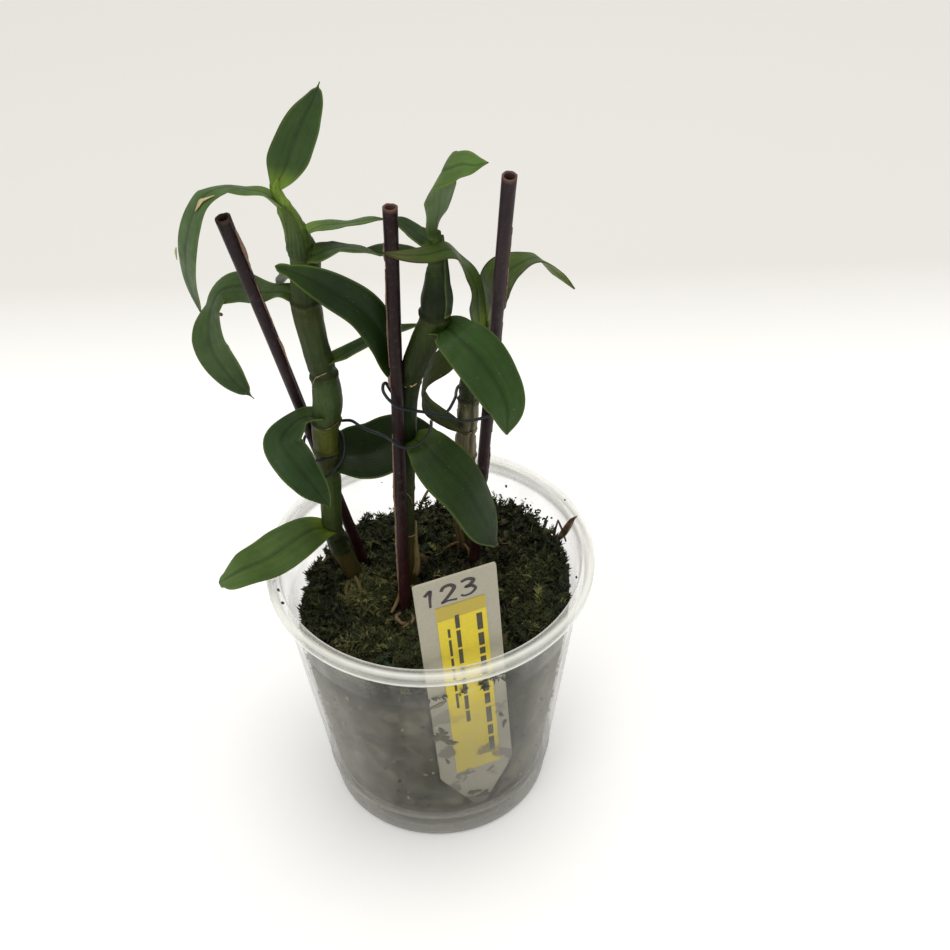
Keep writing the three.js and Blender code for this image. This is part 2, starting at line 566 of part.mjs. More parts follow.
function stickerOutline() {
  const { left, right, top, bottom } = STICKER;
  return [[left, top], [left, bottom], [right, bottom], [right, top]];
}

// ---------------------------------------------------------------- assembly
const plant = new THREE.Group();
plant.name = 'potted_dendrobium_orchid';

function add(name, geometry, material) {
  const mesh = new THREE.Mesh(geometry, material);
  mesh.name = name;
  plant.add(mesh);
}

add('pot', potGeometry(), MATERIALS.clearPlastic);
add('growing_medium', mediumGeometry(), MATERIALS.medium);

for (const [name, stations] of Object.entries(CANES)) {
  add(name, stemGeometry(stations), name === 'cane_right' ? MATERIALS.cane : MATERIALS.caneYoung);
}

for (const [name, leaf] of Object.entries(LEAVES)) {
  const clearance = solidOf(stemGeometry(CANES[leaf.cane], GAP));
  const blade = solidOf(bladeGeometry(leaf)).subtract(clearance);
  const material = leaf.cane === 'cane_right' ? MATERIALS.leafRight : MATERIALS.leaf;
  add(name, geometryFrom(blade), material);
}

for (const name of Object.keys(STAKES)) add(name, stakeGeometry(name), MATERIALS.stake);
for (const [name, points] of Object.entries(TIES)) add(name, wireGeometry(points), MATERIALS.wire);

add('label', onLabel(labelOutline(), LABEL_THICKNESS, 0), MATERIALS.label);
const stickerFront = LABEL_THICKNESS / 2 + GAP + STICKER_THICKNESS / 2;
add('label_sticker', onLabel(stickerOutline(), STICKER_THICKNESS, stickerFront), MATERIALS.sticker);
add('dry_bract', bladeGeometry(BRACT), MATERIALS.bract);

export default plant;
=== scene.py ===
# Looks of the potted dendrobium orchid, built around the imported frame.
# Data are in millimetres, +Z up, and -Y is the label's side; Blender works in metres.
import math

import bpy
import bmesh
import numpy as np
from mathutils import Matrix, Vector


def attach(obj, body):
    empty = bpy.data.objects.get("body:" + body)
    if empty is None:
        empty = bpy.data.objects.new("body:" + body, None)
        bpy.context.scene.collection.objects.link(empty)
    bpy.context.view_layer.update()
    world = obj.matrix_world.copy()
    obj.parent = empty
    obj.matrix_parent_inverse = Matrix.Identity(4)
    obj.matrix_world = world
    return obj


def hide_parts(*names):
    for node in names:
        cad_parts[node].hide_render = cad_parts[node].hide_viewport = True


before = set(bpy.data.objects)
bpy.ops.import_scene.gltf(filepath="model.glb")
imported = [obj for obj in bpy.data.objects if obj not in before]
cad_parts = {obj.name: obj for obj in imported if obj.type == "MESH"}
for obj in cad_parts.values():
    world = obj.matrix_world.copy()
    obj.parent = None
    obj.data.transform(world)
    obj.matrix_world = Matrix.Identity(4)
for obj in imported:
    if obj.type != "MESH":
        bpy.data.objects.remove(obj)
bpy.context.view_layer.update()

MM = 0.001
GAP = 0.3
POT_HEIGHT = 83
RIM_OUTER_RADIUS = 44.2
BASE_RADIUS = 31.0
WALL_FOOT_RADIUS, WALL_FOOT_Z, WALL_TAPER = 31.2, 10, 9 / 70
WALL_THICKNESS = 1.2
FLOOR_THICKNESS = 2
MEDIUM_TOP = 66.5
SHRINK = 0.3  # the dressed filling lies this far inside the solid's side
DRAIN_HOLES, DRAIN_RADIUS, DRAIN_CIRCLE = 6, 2.5, 20
STAKE_RADIUS, STAKE_DEPTH, BORE_DEPTH = 1.5, 44, 14
WIRE_RADIUS, CORE_RADIUS = 0.4, 0.17

# ---------------------------------------------------------------- placement, as in the solids
CANES = {
  "cane_left": [
    [-20.6, 6.8, 54, 4.6], [-21.3, 6.4, 69, 5.0], [-23.3, 6, 76.5, 5.2], [-25.8, 5.5, 86.5, 5.1],
    [-25.7, 5.5, 96.5, 5.3], [-25.1, 5.5, 105, 5.2], [-25.3, 5, 114.5, 6.2], [-25.1, 5, 123, 6.9],
    [-23.7, 5, 133, 7.3], [-24.1, 5, 141.5, 6.7], [-25.5, 5, 151.5, 6.6], [-26.4, 5, 161.5, 7.2],
    [-26.2, 5, 168, 6.6], [-25.6, 5, 174.5, 7.0], [-26.3, 5, 179.5, 6.2], [-27.3, 5, 185, 4.6],
    [-29.1, 5, 190, 3.2], [-30.5, 5, 194.5, 2.5], [-30.2, 5, 198, 1.8],
  ],
  "cane_middle": [
    [-7.3, 2.2, 54, 4.6], [-6.9, 1.5, 67, 5.2], [-6, 1.5, 79.5, 5.3], [-6.4, 1.5, 87, 5.4],
    [-6, 1.5, 101.5, 5.3], [-5.5, 1.5, 112, 5.5], [-4.6, 1.7, 125, 5.4], [-3.7, 1.6, 135, 5.2],
    [-2.5, 1.1, 141.5, 5.2], [-0.7, 0, 148, 6.3], [1.7, -0.5, 154.5, 6.7], [3.9, -1, 160.5, 6.9],
    [4.8, -1, 167, 7.0], [5.1, -1, 172.5, 5.2], [5.4, -1, 177.5, 4.0], [5.4, -0.8, 182, 2.8],
    [5.5, -0.8, 185.5, 2.2],
  ],
  "cane_right": [
    [8.2, 19.8, 54, 4.6], [9.6, 18, 68.5, 5.2], [9.2, 18, 85.5, 5.2], [10.2, 17.5, 102.5, 5.4],
    [10.6, 17, 110.5, 4.8], [11.3, 17, 116.5, 5.0], [11.5, 16, 122.5, 4.7], [11.9, 15, 128.5, 5.1],
    [13.6, 14, 137, 5.1], [15, 12, 145, 4.5], [16, 10, 151, 3.0],
  ],
}

STAKES = {
  "stake_left": { "foot": [-19.3, 13.5, 68], "top": [-43.3, 5, 187.3] },
  "stake_middle": { "foot": [-7.4, -5.2, 68], "top": [-4.6, 0, 192] },
  "stake_right": { "foot": [11.7, 12, 68], "top": [22.1, -10, 205.3] },
}

LEAVES = {
  "leaf_left_1": {
    "heading": 90, "roll": [5, 10, 0], "width": 10, "fold": 10, "neck": 0.3, "shoulder": 0.35,
    "taper": 1.2,
    "midrib": [[-30.5, 5.2, 195], [-28, 4.5, 200], [-25.5, 3.5, 206.5], [-22.5, 3.5, 213],
      [-20, 3.5, 217.5], [-18, 2, 222.5]],
  },
  "leaf_left_2": {
    "heading": 180, "roll": [10, 20, 5, -5, -20], "width": 10.5, "fold": 0, "neck": 0.5,
    "shoulder": 0.5, "taper": 1.4,
    "midrib": [[-29.5, 5, 189], [-33.5, 5.5, 193], [-37.5, 5.5, 194], [-42, 6, 194.5], [-46.5, 3.5, 194],
      [-49.5, 2, 189.5], [-52, 1, 181.5], [-52.5, 1, 173], [-51, 1, 164]],
  },
  "leaf_left_3": {
    "heading": 0, "roll": [5, -15, -10], "width": 6, "fold": 5, "neck": 0.75, "shoulder": 0.45,
    "taper": 1.6,
    "midrib": [[-24, 3.5, 183.5], [-21, 4.5, 184.5], [-15.5, 5, 184.5], [-9.5, 5, 185.5], [-6, 4.5, 186]],
  },
  "leaf_left_4": {
    "heading": -20, "roll": [25, -15, -25], "width": 8, "fold": 1, "neck": 0.7, "shoulder": 0.45,
    "taper": 1.2,
    "midrib": [[-23.5, 2.2, 177.8], [-19.5, 0.5, 180.5], [-15.5, 0, 181.5], [-11, -1.5, 181.5],
      [-7.2, -3, 181]],
  },
  "leaf_left_5": {
    "heading": 115, "roll": [0, -10, -5], "width": 5.5, "fold": 10, "neck": 0.8, "shoulder": 0.45,
    "taper": 1.4,
    "midrib": [[-27.4, 7.5, 169.6], [-29.5, 11.8, 168], [-31.2, 16, 164.2], [-33, 19.5, 159.8],
      [-35, 22, 155]],
  },
  "leaf_left_6": {
    "heading": 140, "roll": [0, -10, -25, -15, -60, -70, -85], "width": 10.5, "fold": 2,
    "neck": 0.5, "shoulder": 0.6, "taper": 1.7,
    "midrib": [[-28.5, 5.5, 163], [-31.5, 9.5, 162.5], [-37, 12.7, 160.5], [-43, 14.2, 161.5],
      [-48, 15.5, 159.5], [-50, 13.5, 157], [-51.5, 11, 152.5], [-51.5, 10, 146], [-47.5, 9, 137.5],
      [-42.5, 8, 131.5]],
  },
  "leaf_left_7": {
    "heading": 8, "roll": [10, -5, -5], "width": 5.5, "fold": 11, "neck": 0.8, "shoulder": 0.45,
    "taper": 1.5,
    "midrib": [[-22.5, 4.5, 144.8], [-18, 5.5, 147], [-14, 6, 149], [-8.5, 7, 151.5], [-3, 7, 153],
      [0.5, 7, 154]],
  },
  "leaf_left_8": {
    "heading": 200, "roll": [15, -15, -65, -20], "width": 10.5, "fold": 0, "neck": 0.6,
    "shoulder": 0.4, "taper": 1.5,
    "midrib": [[-24.5, 2.5, 128.5], [-29.5, 3.2, 128.8], [-33, 1.5, 127.5], [-35.5, -2, 125.5],
      [-32.5, -5, 121], [-28, -6, 113], [-24.5, -5.5, 105.5]],
  },
  "leaf_left_9": {
    "heading": 15, "roll": [40, 45, 50], "width": 15.5, "fold": 18, "neck": 0.85, "shoulder": 0.4,
    "taper": 1.6,
    "midrib": [[-24, 5.8, 112.8], [-19, 7, 113], [-14, 8.7, 112.3], [-9, 11, 113.2], [-3, 12.4, 114.9],
      [3, 12.5, 115.6]],
  },
  "leaf_left_10": {
    "heading": 215, "roll": [-10, -5, 15], "width": 13.5, "fold": 2, "neck": 0.35, "shoulder": 0.5,
    "taper": 3.2,
    "midrib": [[-26, 5.5, 87.5], [-30.5, 1.5, 91.5], [-36.5, -3.5, 91.5], [-42.5, -8, 90.5],
      [-49, -11.5, 90], [-55, -12.5, 86.5]],
  },
  "leaf_middle_1": {
    "heading": -60, "roll": [30, 20, 15, 40, 40, 35], "width": 10.5, "fold": 1, "neck": 0.25,
    "shoulder": 0.5, "taper": 1.5,
    "midrib": [[5.4, -1.1, 184], [5.5, -2.3, 189], [6.5, -3, 194], [7, -4, 199], [7.5, -5.5, 204],
      [9.5, -7.5, 206], [12, -8.5, 207.5], [15, -10, 208], [17.5, -12, 210]],
  },
  "leaf_middle_2": {
    "heading": 160, "roll": [-20, 10, 0], "width": 6.5, "fold": 7, "neck": 0.6, "shoulder": 0.45,
    "taper": 1.5,
    "midrib": [[4.8, -0.7, 182], [1.5, 0.5, 184], [-1, 2.5, 185], [-3.2, 3.7, 186], [-4.5, 4.2, 186.4]],
  },
  "leaf_middle_3": {
    "heading": 158, "roll": [-15, -5, -20], "width": 5, "fold": 3, "neck": 0.6, "shoulder": 0.45,
    "taper": 1.4,
    "midrib": [[4.2, -0.7, 178.5], [0, 1.5, 177.8], [-3.5, 3.7, 177.6], [-7.5, 5.2, 177.2],
      [-11.5, 6.2, 177]],
  },
  "leaf_middle_4": {
    "heading": -10, "roll": [-10, 10, -10, -10], "width": 13.5, "fold": 5, "neck": 0.36,
    "shoulder": 0.5, "taper": 2.2,
    "midrib": [[3, -2, 157.5], [7.5, -3.5, 160], [9.5, -6.5, 160], [13.5, -9, 157], [17, -11.5, 152.5],
      [20.5, -14.5, 145.5], [20.5, -18.5, 139.5]],
  },
  "leaf_middle_5": {
    "heading": 180, "roll": [-45, -60, -60], "width": 9.5, "fold": 14, "neck": 0.4,
    "shoulder": 0.45, "taper": 1.9,
    "midrib": [[-4.5, 2.2, 138.5], [-7, 2.5, 144.5], [-8.5, 2, 153.5], [-12.5, 1, 163], [-18.5, -1.6, 170.5],
      [-25.5, -3.1, 176.3], [-31.5, -3.8, 179.6]],
  },
  "leaf_middle_6": {
    "heading": -35, "roll": [15, -15, -25], "width": 16.5, "fold": -2, "neck": 0.35,
    "shoulder": 0.45, "taper": 2.6,
    "midrib": [[-2.4, 0, 123], [0.5, -4, 124.5], [4.5, -8, 122], [10, -11.5, 116.5], [14, -14, 109],
      [17.5, -16.5, 101]],
  },
  "leaf_right_1": {
    "heading": 10, "roll": [5, 17, 27, 12, -20, -44, -66, -70], "width": 11.5, "fold": 3,
    "neck": 0.4, "shoulder": 0.4, "taper": 1.3,
    "midrib": [[16.8, 12.2, 148.5], [17.8, 11.8, 156.2], [19.5, 10, 163.8], [25, 9, 169.2], [29, 9, 170.7],
      [34.2, 8.5, 166.2], [38, 8.5, 162]],
  },
  "leaf_right_2": {
    "heading": 215, "roll": [-85, -75, -30, 0, -25], "width": 7, "fold": 2, "neck": 0.5,
    "shoulder": 0.5, "taper": 1.8,
    "midrib": [[14.8, 10, 146.5], [14.5, 7, 159.5], [14, 4, 167.5], [11.5, -0.8, 175.7],
      [8.5, -5, 183.3], [3, -7.4, 183.8], [-2.5, -9, 185], [-6.5, -10, 186.5]],
  },
  "leaf_right_3": {
    "heading": 200, "roll": [-15, -15, -30, 10], "width": 9, "fold": 2, "neck": 0.4,
    "shoulder": 0.5, "taper": 4,
    "midrib": [[10, 15.5, 112], [6, 13, 118.5], [2, 11, 124], [0, 9.5, 130], [2.4, 9, 137.6],
      [6.5, 8.6, 142], [11, 8.4, 147]],
  },
}

TIES = {
  "tie_left": [
    [-25.9, 0.3, 111.2], [-24.5, 0.4, 112.1], [-22.4, 1.1, 114], [-20.9, 3, 115.6], [-20.6, 4.8, 117.4],
    [-21.6, 8.2, 119.4], [-25, 9.8, 119.4], [-28, 12.6, 117.5], [-30.9, 11.6, 116], [-31.4, 8.8, 115.6],
    [-29.6, 4.4, 115.3], [-28.4, 2.2, 115.3], [-25.5, 1, 116.3], [-22.9, 1.7, 116.2],
  ],
  "tie_middle": [
    [-25, 9.8, 123.5], [-21.7, 7.8, 123.8], [-18, 4, 126.6], [-15.9, 2, 126.5], [-13.3, -0.5, 126.9],
    [-9.6, -4.3, 128.3], [-7.6, -5.8, 127.9], [-6.4, -6.2, 126.9], [-4.5, -6.3, 125.9],
    [-3.3, -6.2, 125.7], [-1.2, -5.8, 126.3], [0.8, -5, 127.8], [2.1, -4, 130.2], [2.3, -3.8, 132.3],
  ],
  "tie_right": [
    [6.1, -1, 132.6], [6.8, 1, 132], [7.5, 4, 131.1], [8.4, 9.5, 129.2], [8.5, 13.5, 127.4],
    [9.4, 17.3, 126.4], [12.4, 18.9, 126.2], [15.8, 17, 127.2], [19.6, 8, 129.6], [19.6, 2.5, 130.3],
    [18.4, -0.3, 130.6], [16.7, -0.8, 130.9], [14.4, -1.1, 130.3], [11.4, -1.2, 129.8],
    [9.4, -1.6, 130.2], [6.4, -2.2, 132.1], [3.5, -3, 133.5], [0.6, -3.8, 135.2], [-1.3, -4.3, 136],
    [-4.2, -5, 137.3], [-6.1, -5.2, 138.5], [-7.2, -5, 139.7], [-8.4, -4.2, 140.9],
    [-9.1, -3, 141.9], [-8.9, -2, 142.9], [-8.4, -1.6, 142.9], [-7.9, -0.9, 141.2], [-7.3, 1.2, 137.8],
    [-6.7, 3.9, 134.6], [-3.9, 5.6, 134], [-1.9, 6.2, 134.2], [-1.2, 7.4, 132.8],
  ],
}
LABEL = {"centre": (8.3, -35.9, POT_HEIGHT), "yaw": 17.5, "lean": 6.5, "spin": 4.5}
LABEL_HALF, LABEL_ABOVE, LABEL_BELOW, LABEL_POINT, LABEL_TIP = 10.5, 32, 56, 18.5, 1.6
STICKER = {"left": -5.7, "right": 7, "top": 21.5, "bottom": -55, "overlap": 16}


# ---------------------------------------------------------------- colours
def srgb(r, g, b):
    """Linear colour of an 8-bit sRGB colour."""
    c = np.array([r, g, b], float) / 255
    return np.where(c <= 0.04045, c / 12.92, ((c + 0.055) / 1.055) ** 2.4)


LIVING = np.array([0.98, 1.14, 0.66])  # deepens the greens of leaves and stems
RED_MARGIN, PALE_MARGIN, MIDRIB = (58, 30, 28), (112, 122, 74), (26, 36, 20)

# Leaf looks: upper face, lower face, base, tip.
GREEN = dict(upper=(44, 62, 36), lower=(66, 82, 60), base=(74, 88, 46), tip=(46, 62, 36))
LOOKS = {name: dict(GREEN) for name in LEAVES}
LOOKS["leaf_left_1"].update(upper=(58, 78, 46), base=(116, 136, 66), tip=(56, 70, 50), prong=0.94)
LOOKS["leaf_left_2"].update(upper=(74, 94, 64), lower=(96, 112, 84), base=(92, 110, 62),
                            tip=(60, 76, 54))
LOOKS["leaf_left_3"].update(upper=(84, 102, 72), base=(104, 122, 70))
LOOKS["leaf_left_4"].update(upper=(58, 72, 50), base=(70, 82, 54))
LOOKS["leaf_left_5"].update(upper=(54, 70, 40), lower=(50, 66, 34))
LOOKS["leaf_left_6"].update(prong=0.965, upper=(66, 82, 56), lower=(70, 88, 68), base=(70, 84, 44))
LOOKS["leaf_left_8"].update(upper=(52, 70, 50), base=(64, 76, 42))
LOOKS["leaf_left_9"].update(upper=(30, 42, 22), lower=(40, 58, 26), base=(44, 56, 34))
LOOKS["leaf_left_10"].update(blunt=0.04, upper=(76, 94, 56), base=(136, 148, 62), tip=(98, 118, 84))
LOOKS["leaf_middle_1"].update(upper=(84, 102, 66), lower=(90, 106, 80), tip=(84, 110, 58))
LOOKS["leaf_middle_2"].update(upper=(42, 56, 35))
LOOKS["leaf_middle_4"].update(upper=(54, 74, 44), base=(40, 56, 24), tip=(64, 80, 58))
LOOKS["leaf_middle_5"].update(upper=(30, 46, 20), tip=(48, 66, 34), blunt=0.06)
LOOKS["leaf_middle_6"].update(blunt=0.03, upper=(44, 60, 34), tip=(24, 36, 12))
for name in ("leaf_right_1", "leaf_right_2", "leaf_right_3"):
    LOOKS[name].update(upper=(70, 84, 46), lower=(104, 104, 88), base=(108, 120, 42),
                       tip=(84, 84, 52), margin=RED_MARGIN)
LOOKS["leaf_right_1"].update(lower=(104, 116, 50), base=(128, 138, 50))
LOOKS["leaf_right_3"].update(upper=(54, 60, 33), lower=(58, 62, 36), base=(82, 80, 62))


# ---------------------------------------------------------------- geometry helpers
def catmull(points, per=24):
    """Centripetal Catmull-Rom curve through the points."""
    p = np.asarray(points, float)[:, :3]
    p = np.vstack([2 * p[0] - p[1], p, 2 * p[-1] - p[-2]])
    out = []
    for a, b, c, d in zip(p[:-3], p[1:-2], p[2:-1], p[3:]):
        ab, bc, cd = (max(np.linalg.norm(v) ** 0.5, 1e-4) for v in (b - a, c - b, d - c))
        t1 = ((b - a) / ab - (c - a) / (ab + bc) + (c - b) / bc) * bc
        t2 = ((c - b) / bc - (d - b) / (bc + cd) + (d - c) / cd) * bc
        t = np.linspace(0, 1, per, endpoint=False)[:, None]
        out.append((2 * t**3 - 3 * t**2 + 1) * b + (t**3 - 2 * t**2 + t) * t1
                   + (3 * t**2 - 2 * t**3) * c + (t**3 - t**2) * t2)
    return np.vstack([*out, p[-2:-1]])


def spaced(points, count):
    """`count` points evenly spaced along the curve, and their shares of its stations."""
    curve = catmull(points)
    run = np.r_[0, np.cumsum(np.linalg.norm(np.diff(curve, axis=0), axis=1))]
    at = np.linspace(0, run[-1], count)
    station = np.interp(at, run, np.linspace(0, 1, len(curve)))
    return np.stack([np.interp(at, run, curve[:, k]) for k in range(3)], 1), station


def spread(values, s):
    """Value at s (0..1) of a list that is spread evenly over 0..1."""
    return np.interp(s, np.linspace(0, 1, len(values)), values)


def unit(v):
    return v / np.maximum(np.linalg.norm(v, axis=-1, keepdims=True), 1e-9)


def blend(a, b, share):
    """a where share is 0, b where it is 1."""
    return a * (1 - share) + b * share


def directions(count):
    """Angles spread evenly round a circle."""
    return np.linspace(0, 2 * math.pi, count, endpoint=False)


def circle(turn, radius, z):
    """Points in the directions `turn` from the pot's axis."""
    return np.column_stack([radius * np.cos(turn), radius * np.sin(turn), np.broadcast_to(z, len(turn))])


def spokes(ex, ey, turn):
    """Unit vectors in the directions `turn` of each plane of ex and ey."""
    return ex[:, None] * np.cos(turn)[None, :, None] + ey[:, None] * np.sin(turn)[None, :, None]


def frames_along(points, side):
    """Tangents of a row of points, and side and normal vectors carried along it without twist."""
    tangents = unit(np.gradient(points, axis=0))
    sides = []
    for tangent in tangents:
        side = unit(side - tangent * (side @ tangent))
        sides.append(side)
    sides = np.array(sides)
    return tangents, sides, np.cross(tangents, sides)


def smooth(x, low, high):
    t = np.clip((np.asarray(x, float) - low) / (high - low), 0, 1)
    return t * t * (3 - 2 * t)


def cell(i, j, k, seed):
    h = np.sin(i * 127.1 + j * 311.7 + k * 74.7 + seed * 53.3) * 43758.5453
    return h - np.floor(h)


def noise3(p, size, seed=0):
    """Smooth value noise, -1..1, with cells of the given size."""
    q = np.asarray(p, float) / size
    f = np.floor(q)
    w = q - f
    w = w * w * (3 - 2 * w)
    total = 0
    for dx in (0, 1):
        for dy in (0, 1):
            for dz in (0, 1):
                share = ((w[..., 0] if dx else 1 - w[..., 0]) * (w[..., 1] if dy else 1 - w[..., 1])
                         * (w[..., 2] if dz else 1 - w[..., 2]))
                total = total + share * cell(f[..., 0] + dx, f[..., 1] + dy, f[..., 2] + dz, seed)
    return 2 * total - 1


def rough(p, size, octaves=3, seed=0):
    return sum(noise3(p, size / 2**k, seed + k) / 2**k for k in range(octaves))


def grid(rows, columns, first=0, wrap=False, flip=False):
    """Quads of a grid of rows x columns vertices; with wrap, each row closes on itself."""
    quads = []
    for i in range(rows - 1):
        for j in range(columns if wrap else columns - 1):
            a, b = first + i * columns + j, first + i * columns + (j + 1) % columns
            quad = (a, b, b + columns, a + columns)
            quads.append(quad[::-1] if flip else quad)
    return quads


def closed_rings(rings, count):
    """Faces of a row of rings of `count` vertices each, with a cap at both ends."""
    last = (rings - 1) * count
    return grid(rings, count, wrap=True) + [tuple(range(count))[::-1], tuple(range(last, last + count))]


def fans(rings, count, end, start):
    """Triangles from the last ring to the vertex `end` and from the first ring to `start`."""
    last = (rings - 1) * count
    faces = []
    for k in range(count):
        n = (k + 1) % count
        faces += [(last + k, last + n, end), (n, k, start)]
    return faces


def piece(name, vertices, faces, material, nodes=(), uv=None, paint=None, flat=False):
    """A mesh in millimetres that rides on the plant, with optional uv and linear colour per vertex."""
    mesh = bpy.data.meshes.new(name)
    mesh.from_pydata((np.asarray(vertices) * MM).tolist(), [], faces)
    mesh.validate()
    mesh.polygons.foreach_set("use_smooth", [not flat] * len(mesh.polygons))
    if uv is not None:
        loops = np.zeros(len(mesh.loops), int)
        mesh.loops.foreach_get("vertex_index", loops)
        mesh.uv_layers.new(name="along").data.foreach_set("uv", np.asarray(uv)[loops].ravel())
    if paint is not None:
        layer = mesh.color_attributes.new("paint", "FLOAT_COLOR", "POINT")
        rgba = np.column_stack([np.clip(paint, 0, 1), np.ones(len(paint))])
        layer.data.foreach_set("color", rgba.astype(np.float32).ravel())
    mesh.materials.append(material)
    made = bpy.data.objects.new(name, mesh)
    bpy.context.scene.collection.objects.link(made)
    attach(made, "root")
    if nodes:
        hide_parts(*nodes)
    return made


class Batch:
    """Collects many small shapes of one piece."""

    def __init__(self):
        self.vertices, self.faces, self.paint, self.count = [], [], [], 0

    def add(self, vertices, faces, colour):
        self.vertices.append(np.asarray(vertices, float))
        self.faces.extend(tuple(i + self.count for i in face) for face in faces)
        self.paint.append(np.broadcast_to(colour, (len(vertices), 3)))
        self.count += len(vertices)

    def make(self, name, material, nodes=(), flat=False):
        return piece(name, np.vstack(self.vertices), self.faces, material, nodes,
                     paint=np.vstack(self.paint), flat=flat)


def tube(points, radii, sides=10, side=(1, 0, 0)):
    """Vertices and faces of a round tube with closed ends along points."""
    points = np.asarray(points, float)
    radii = np.broadcast_to(radii, len(points))
    _, across, up = frames_along(points, np.array(side, float))
    ring = spokes(across, up, directions(sides))
    vertices = (points[:, None] + ring * radii[:, None, None]).reshape(-1, 3)
    return vertices, closed_rings(len(points), sides)


def ribbon(points, across, widths, thickness):
    """Thin closed strip: points are its middle line, across its width directions."""
    points, across = np.asarray(points, float), unit(np.asarray(across, float))
    widths = np.broadcast_to(widths, len(points))[:, None]
    out = unit(np.cross(unit(np.gradient(points, axis=0)), across)) * thickness / 2
    left, right = points - across * widths / 2, points + across * widths / 2
    corners = np.stack([left + out, right + out, right - out, left - out], 1)
    return corners.reshape(-1, 3), closed_rings(len(points), 4)


# ---------------------------------------------------------------- materials
class Shader:
    """Node material with the Principled shader, and short calls for its usual nodes."""

    def __init__(self, name, roughness=0.5, **sockets):
        self.material = bpy.data.materials.new(name)
        self.material.use_nodes = True
        self.tree = self.material.node_tree
        self.bsdf = self.tree.nodes["Principled BSDF"]
        self.bsdf.inputs["Roughness"].default_value = roughness
        for socket, value in sockets.items():
            self.bsdf.inputs[socket.replace("_", " ")].default_value = value

    def put(self, kind, inputs=None, **settings):
        made = self.tree.nodes.new(kind)
        for key, value in settings.items():
            setattr(made, key, value)
        for key, value in (inputs or {}).items():
            if isinstance(value, bpy.types.NodeSocket):
                self.tree.links.new(value, made.inputs[key])
            else:
                made.inputs[key].default_value = value
        return made

    def to(self, socket, output):
        self.tree.links.new(output, self.bsdf.inputs[socket])

    def paint(self):
        return self.put("ShaderNodeAttribute", attribute_name="paint").outputs["Color"]

    def where(self, scale=(1, 1, 1), uv=False):
        """Object coordinates in metres, or the piece's uv, times a scale."""
        out = self.put("ShaderNodeTexCoord").outputs["UV" if uv else "Object"]
        return self.put("ShaderNodeMapping", {"Vector": out, "Scale": scale}).outputs["Vector"]

    def noise(self, scale, detail=3, vector=None, roughness=0.55):
        inputs = {"Vector": vector or self.where(), "Scale": scale, "Detail": detail,
                  "Roughness": roughness}
        return self.put("ShaderNodeTexNoise", inputs).outputs["Fac"]

    def band(self, value, low, high, out_low=0.0, out_high=1.0):
        inputs = {"Value": value, "From Min": low, "From Max": high, "To Min": out_low,
                  "To Max": out_high}
        return self.put("ShaderNodeMapRange", inputs).outputs["Result"]

    def calc(self, operation, a, b=0.0):
        return self.put("ShaderNodeMath", {0: a, 1: b}, operation=operation).outputs[0]

    def mix(self, factor, a, b, blend="MIX"):
        made = self.put("ShaderNodeMix", data_type="RGBA", blend_type=blend)
        for socket, value in ((0, factor), (6, a), (7, b)):
            if isinstance(value, bpy.types.NodeSocket):
                self.tree.links.new(value, made.inputs[socket])
            elif socket == 0:
                made.inputs[0].default_value = value
            else:
                made.inputs[socket].default_value = (*value, 1)
        return made.outputs[2]

    def bump(self, height, distance, strength=1.0, normal=None):
        inputs = {"Height": height, "Distance": distance, "Strength": strength}
        if normal is not None:
            inputs["Normal"] = normal
        return self.put("ShaderNodeBump", inputs).outputs["Normal"]


def leaf_material(name, roughness, vein):
    """Living blade: painted colour, fine parallel veins, mottling, soft gloss."""
    sh = Shader(name, roughness, Specular_IOR_Level=0.18)
    lines = sh.put("ShaderNodeTexWave", {"Vector": sh.where((1, 0.02, 1), uv=True), "Scale": 5.5,
                                         "Distortion": 1.6, "Detail": 2.0, "Detail Scale": 1.5},
                   bands_direction="X").outputs["Fac"]
    fine = sh.noise(1.0, 3, sh.where((90, 1.6, 1), uv=True))
    broad = sh.noise(1.0, 2, sh.where((12, 1.2, 1), uv=True))
    mottle = sh.noise(420, 4)
    colour = sh.mix(sh.band(broad, 0.35, 0.7, 0, 0.4), sh.paint(), (0.45, 0.5, 0.42), "MULTIPLY")
    colour = sh.mix(sh.band(lines, 0.72, 1.0, 0, vein), colour, (1.5, 1.5, 1.45), "MULTIPLY")
    colour = sh.mix(sh.band(fine, 0.5, 0.7, 0, 0.5 * vein), colour, (1.6, 1.6, 1.5), "MULTIPLY")
    colour = sh.mix(sh.band(mottle, 0.35, 0.7, 0, 0.5), colour, (0.72, 0.74, 0.7), "MULTIPLY")
    specks = sh.noise(1500, 1)
    colour = sh.mix(sh.band(specks, 0.74, 0.8, 0, 0.35), colour, srgb(150, 156, 130))
    sh.to("Base Color", colour)
    sh.to("Roughness", sh.band(mottle, 0.3, 0.7, roughness - 0.06, roughness + 0.1))
    normal = sh.bump(lines, 0.0001, 0.18)
    sh.to("Normal", sh.bump(sh.noise(1600, 3), 0.00005, 0.3, normal))
    return sh.material


def cane_material():
    """Stem: painted colour, stretched fibre streaks, fine dark speckles."""
    sh = Shader("cane_skin", 0.52, Specular_IOR_Level=0.12)
    streaks = sh.noise(1.0, 4, sh.where((1500, 1500, 160)))
    specks = sh.noise(1900, 2)
    blotch = sh.noise(330, 3)
    colour = sh.mix(sh.band(streaks, 0.42, 0.7, 0, 0.5), sh.paint(), (1.5, 1.45, 1.3), "MULTIPLY")
    colour = sh.mix(sh.band(blotch, 0.45, 0.7, 0, 0.5), colour, (0.62, 0.64, 0.6), "MULTIPLY")
    colour = sh.mix(sh.band(specks, 0.64, 0.72, 0, 0.7), colour, srgb(24, 20, 14))
    sh.to("Base Color", colour)
    sh.to("Normal", sh.bump(streaks, 0.0002, 0.5, sh.bump(specks, 0.0001, 0.4)))
    return sh.material


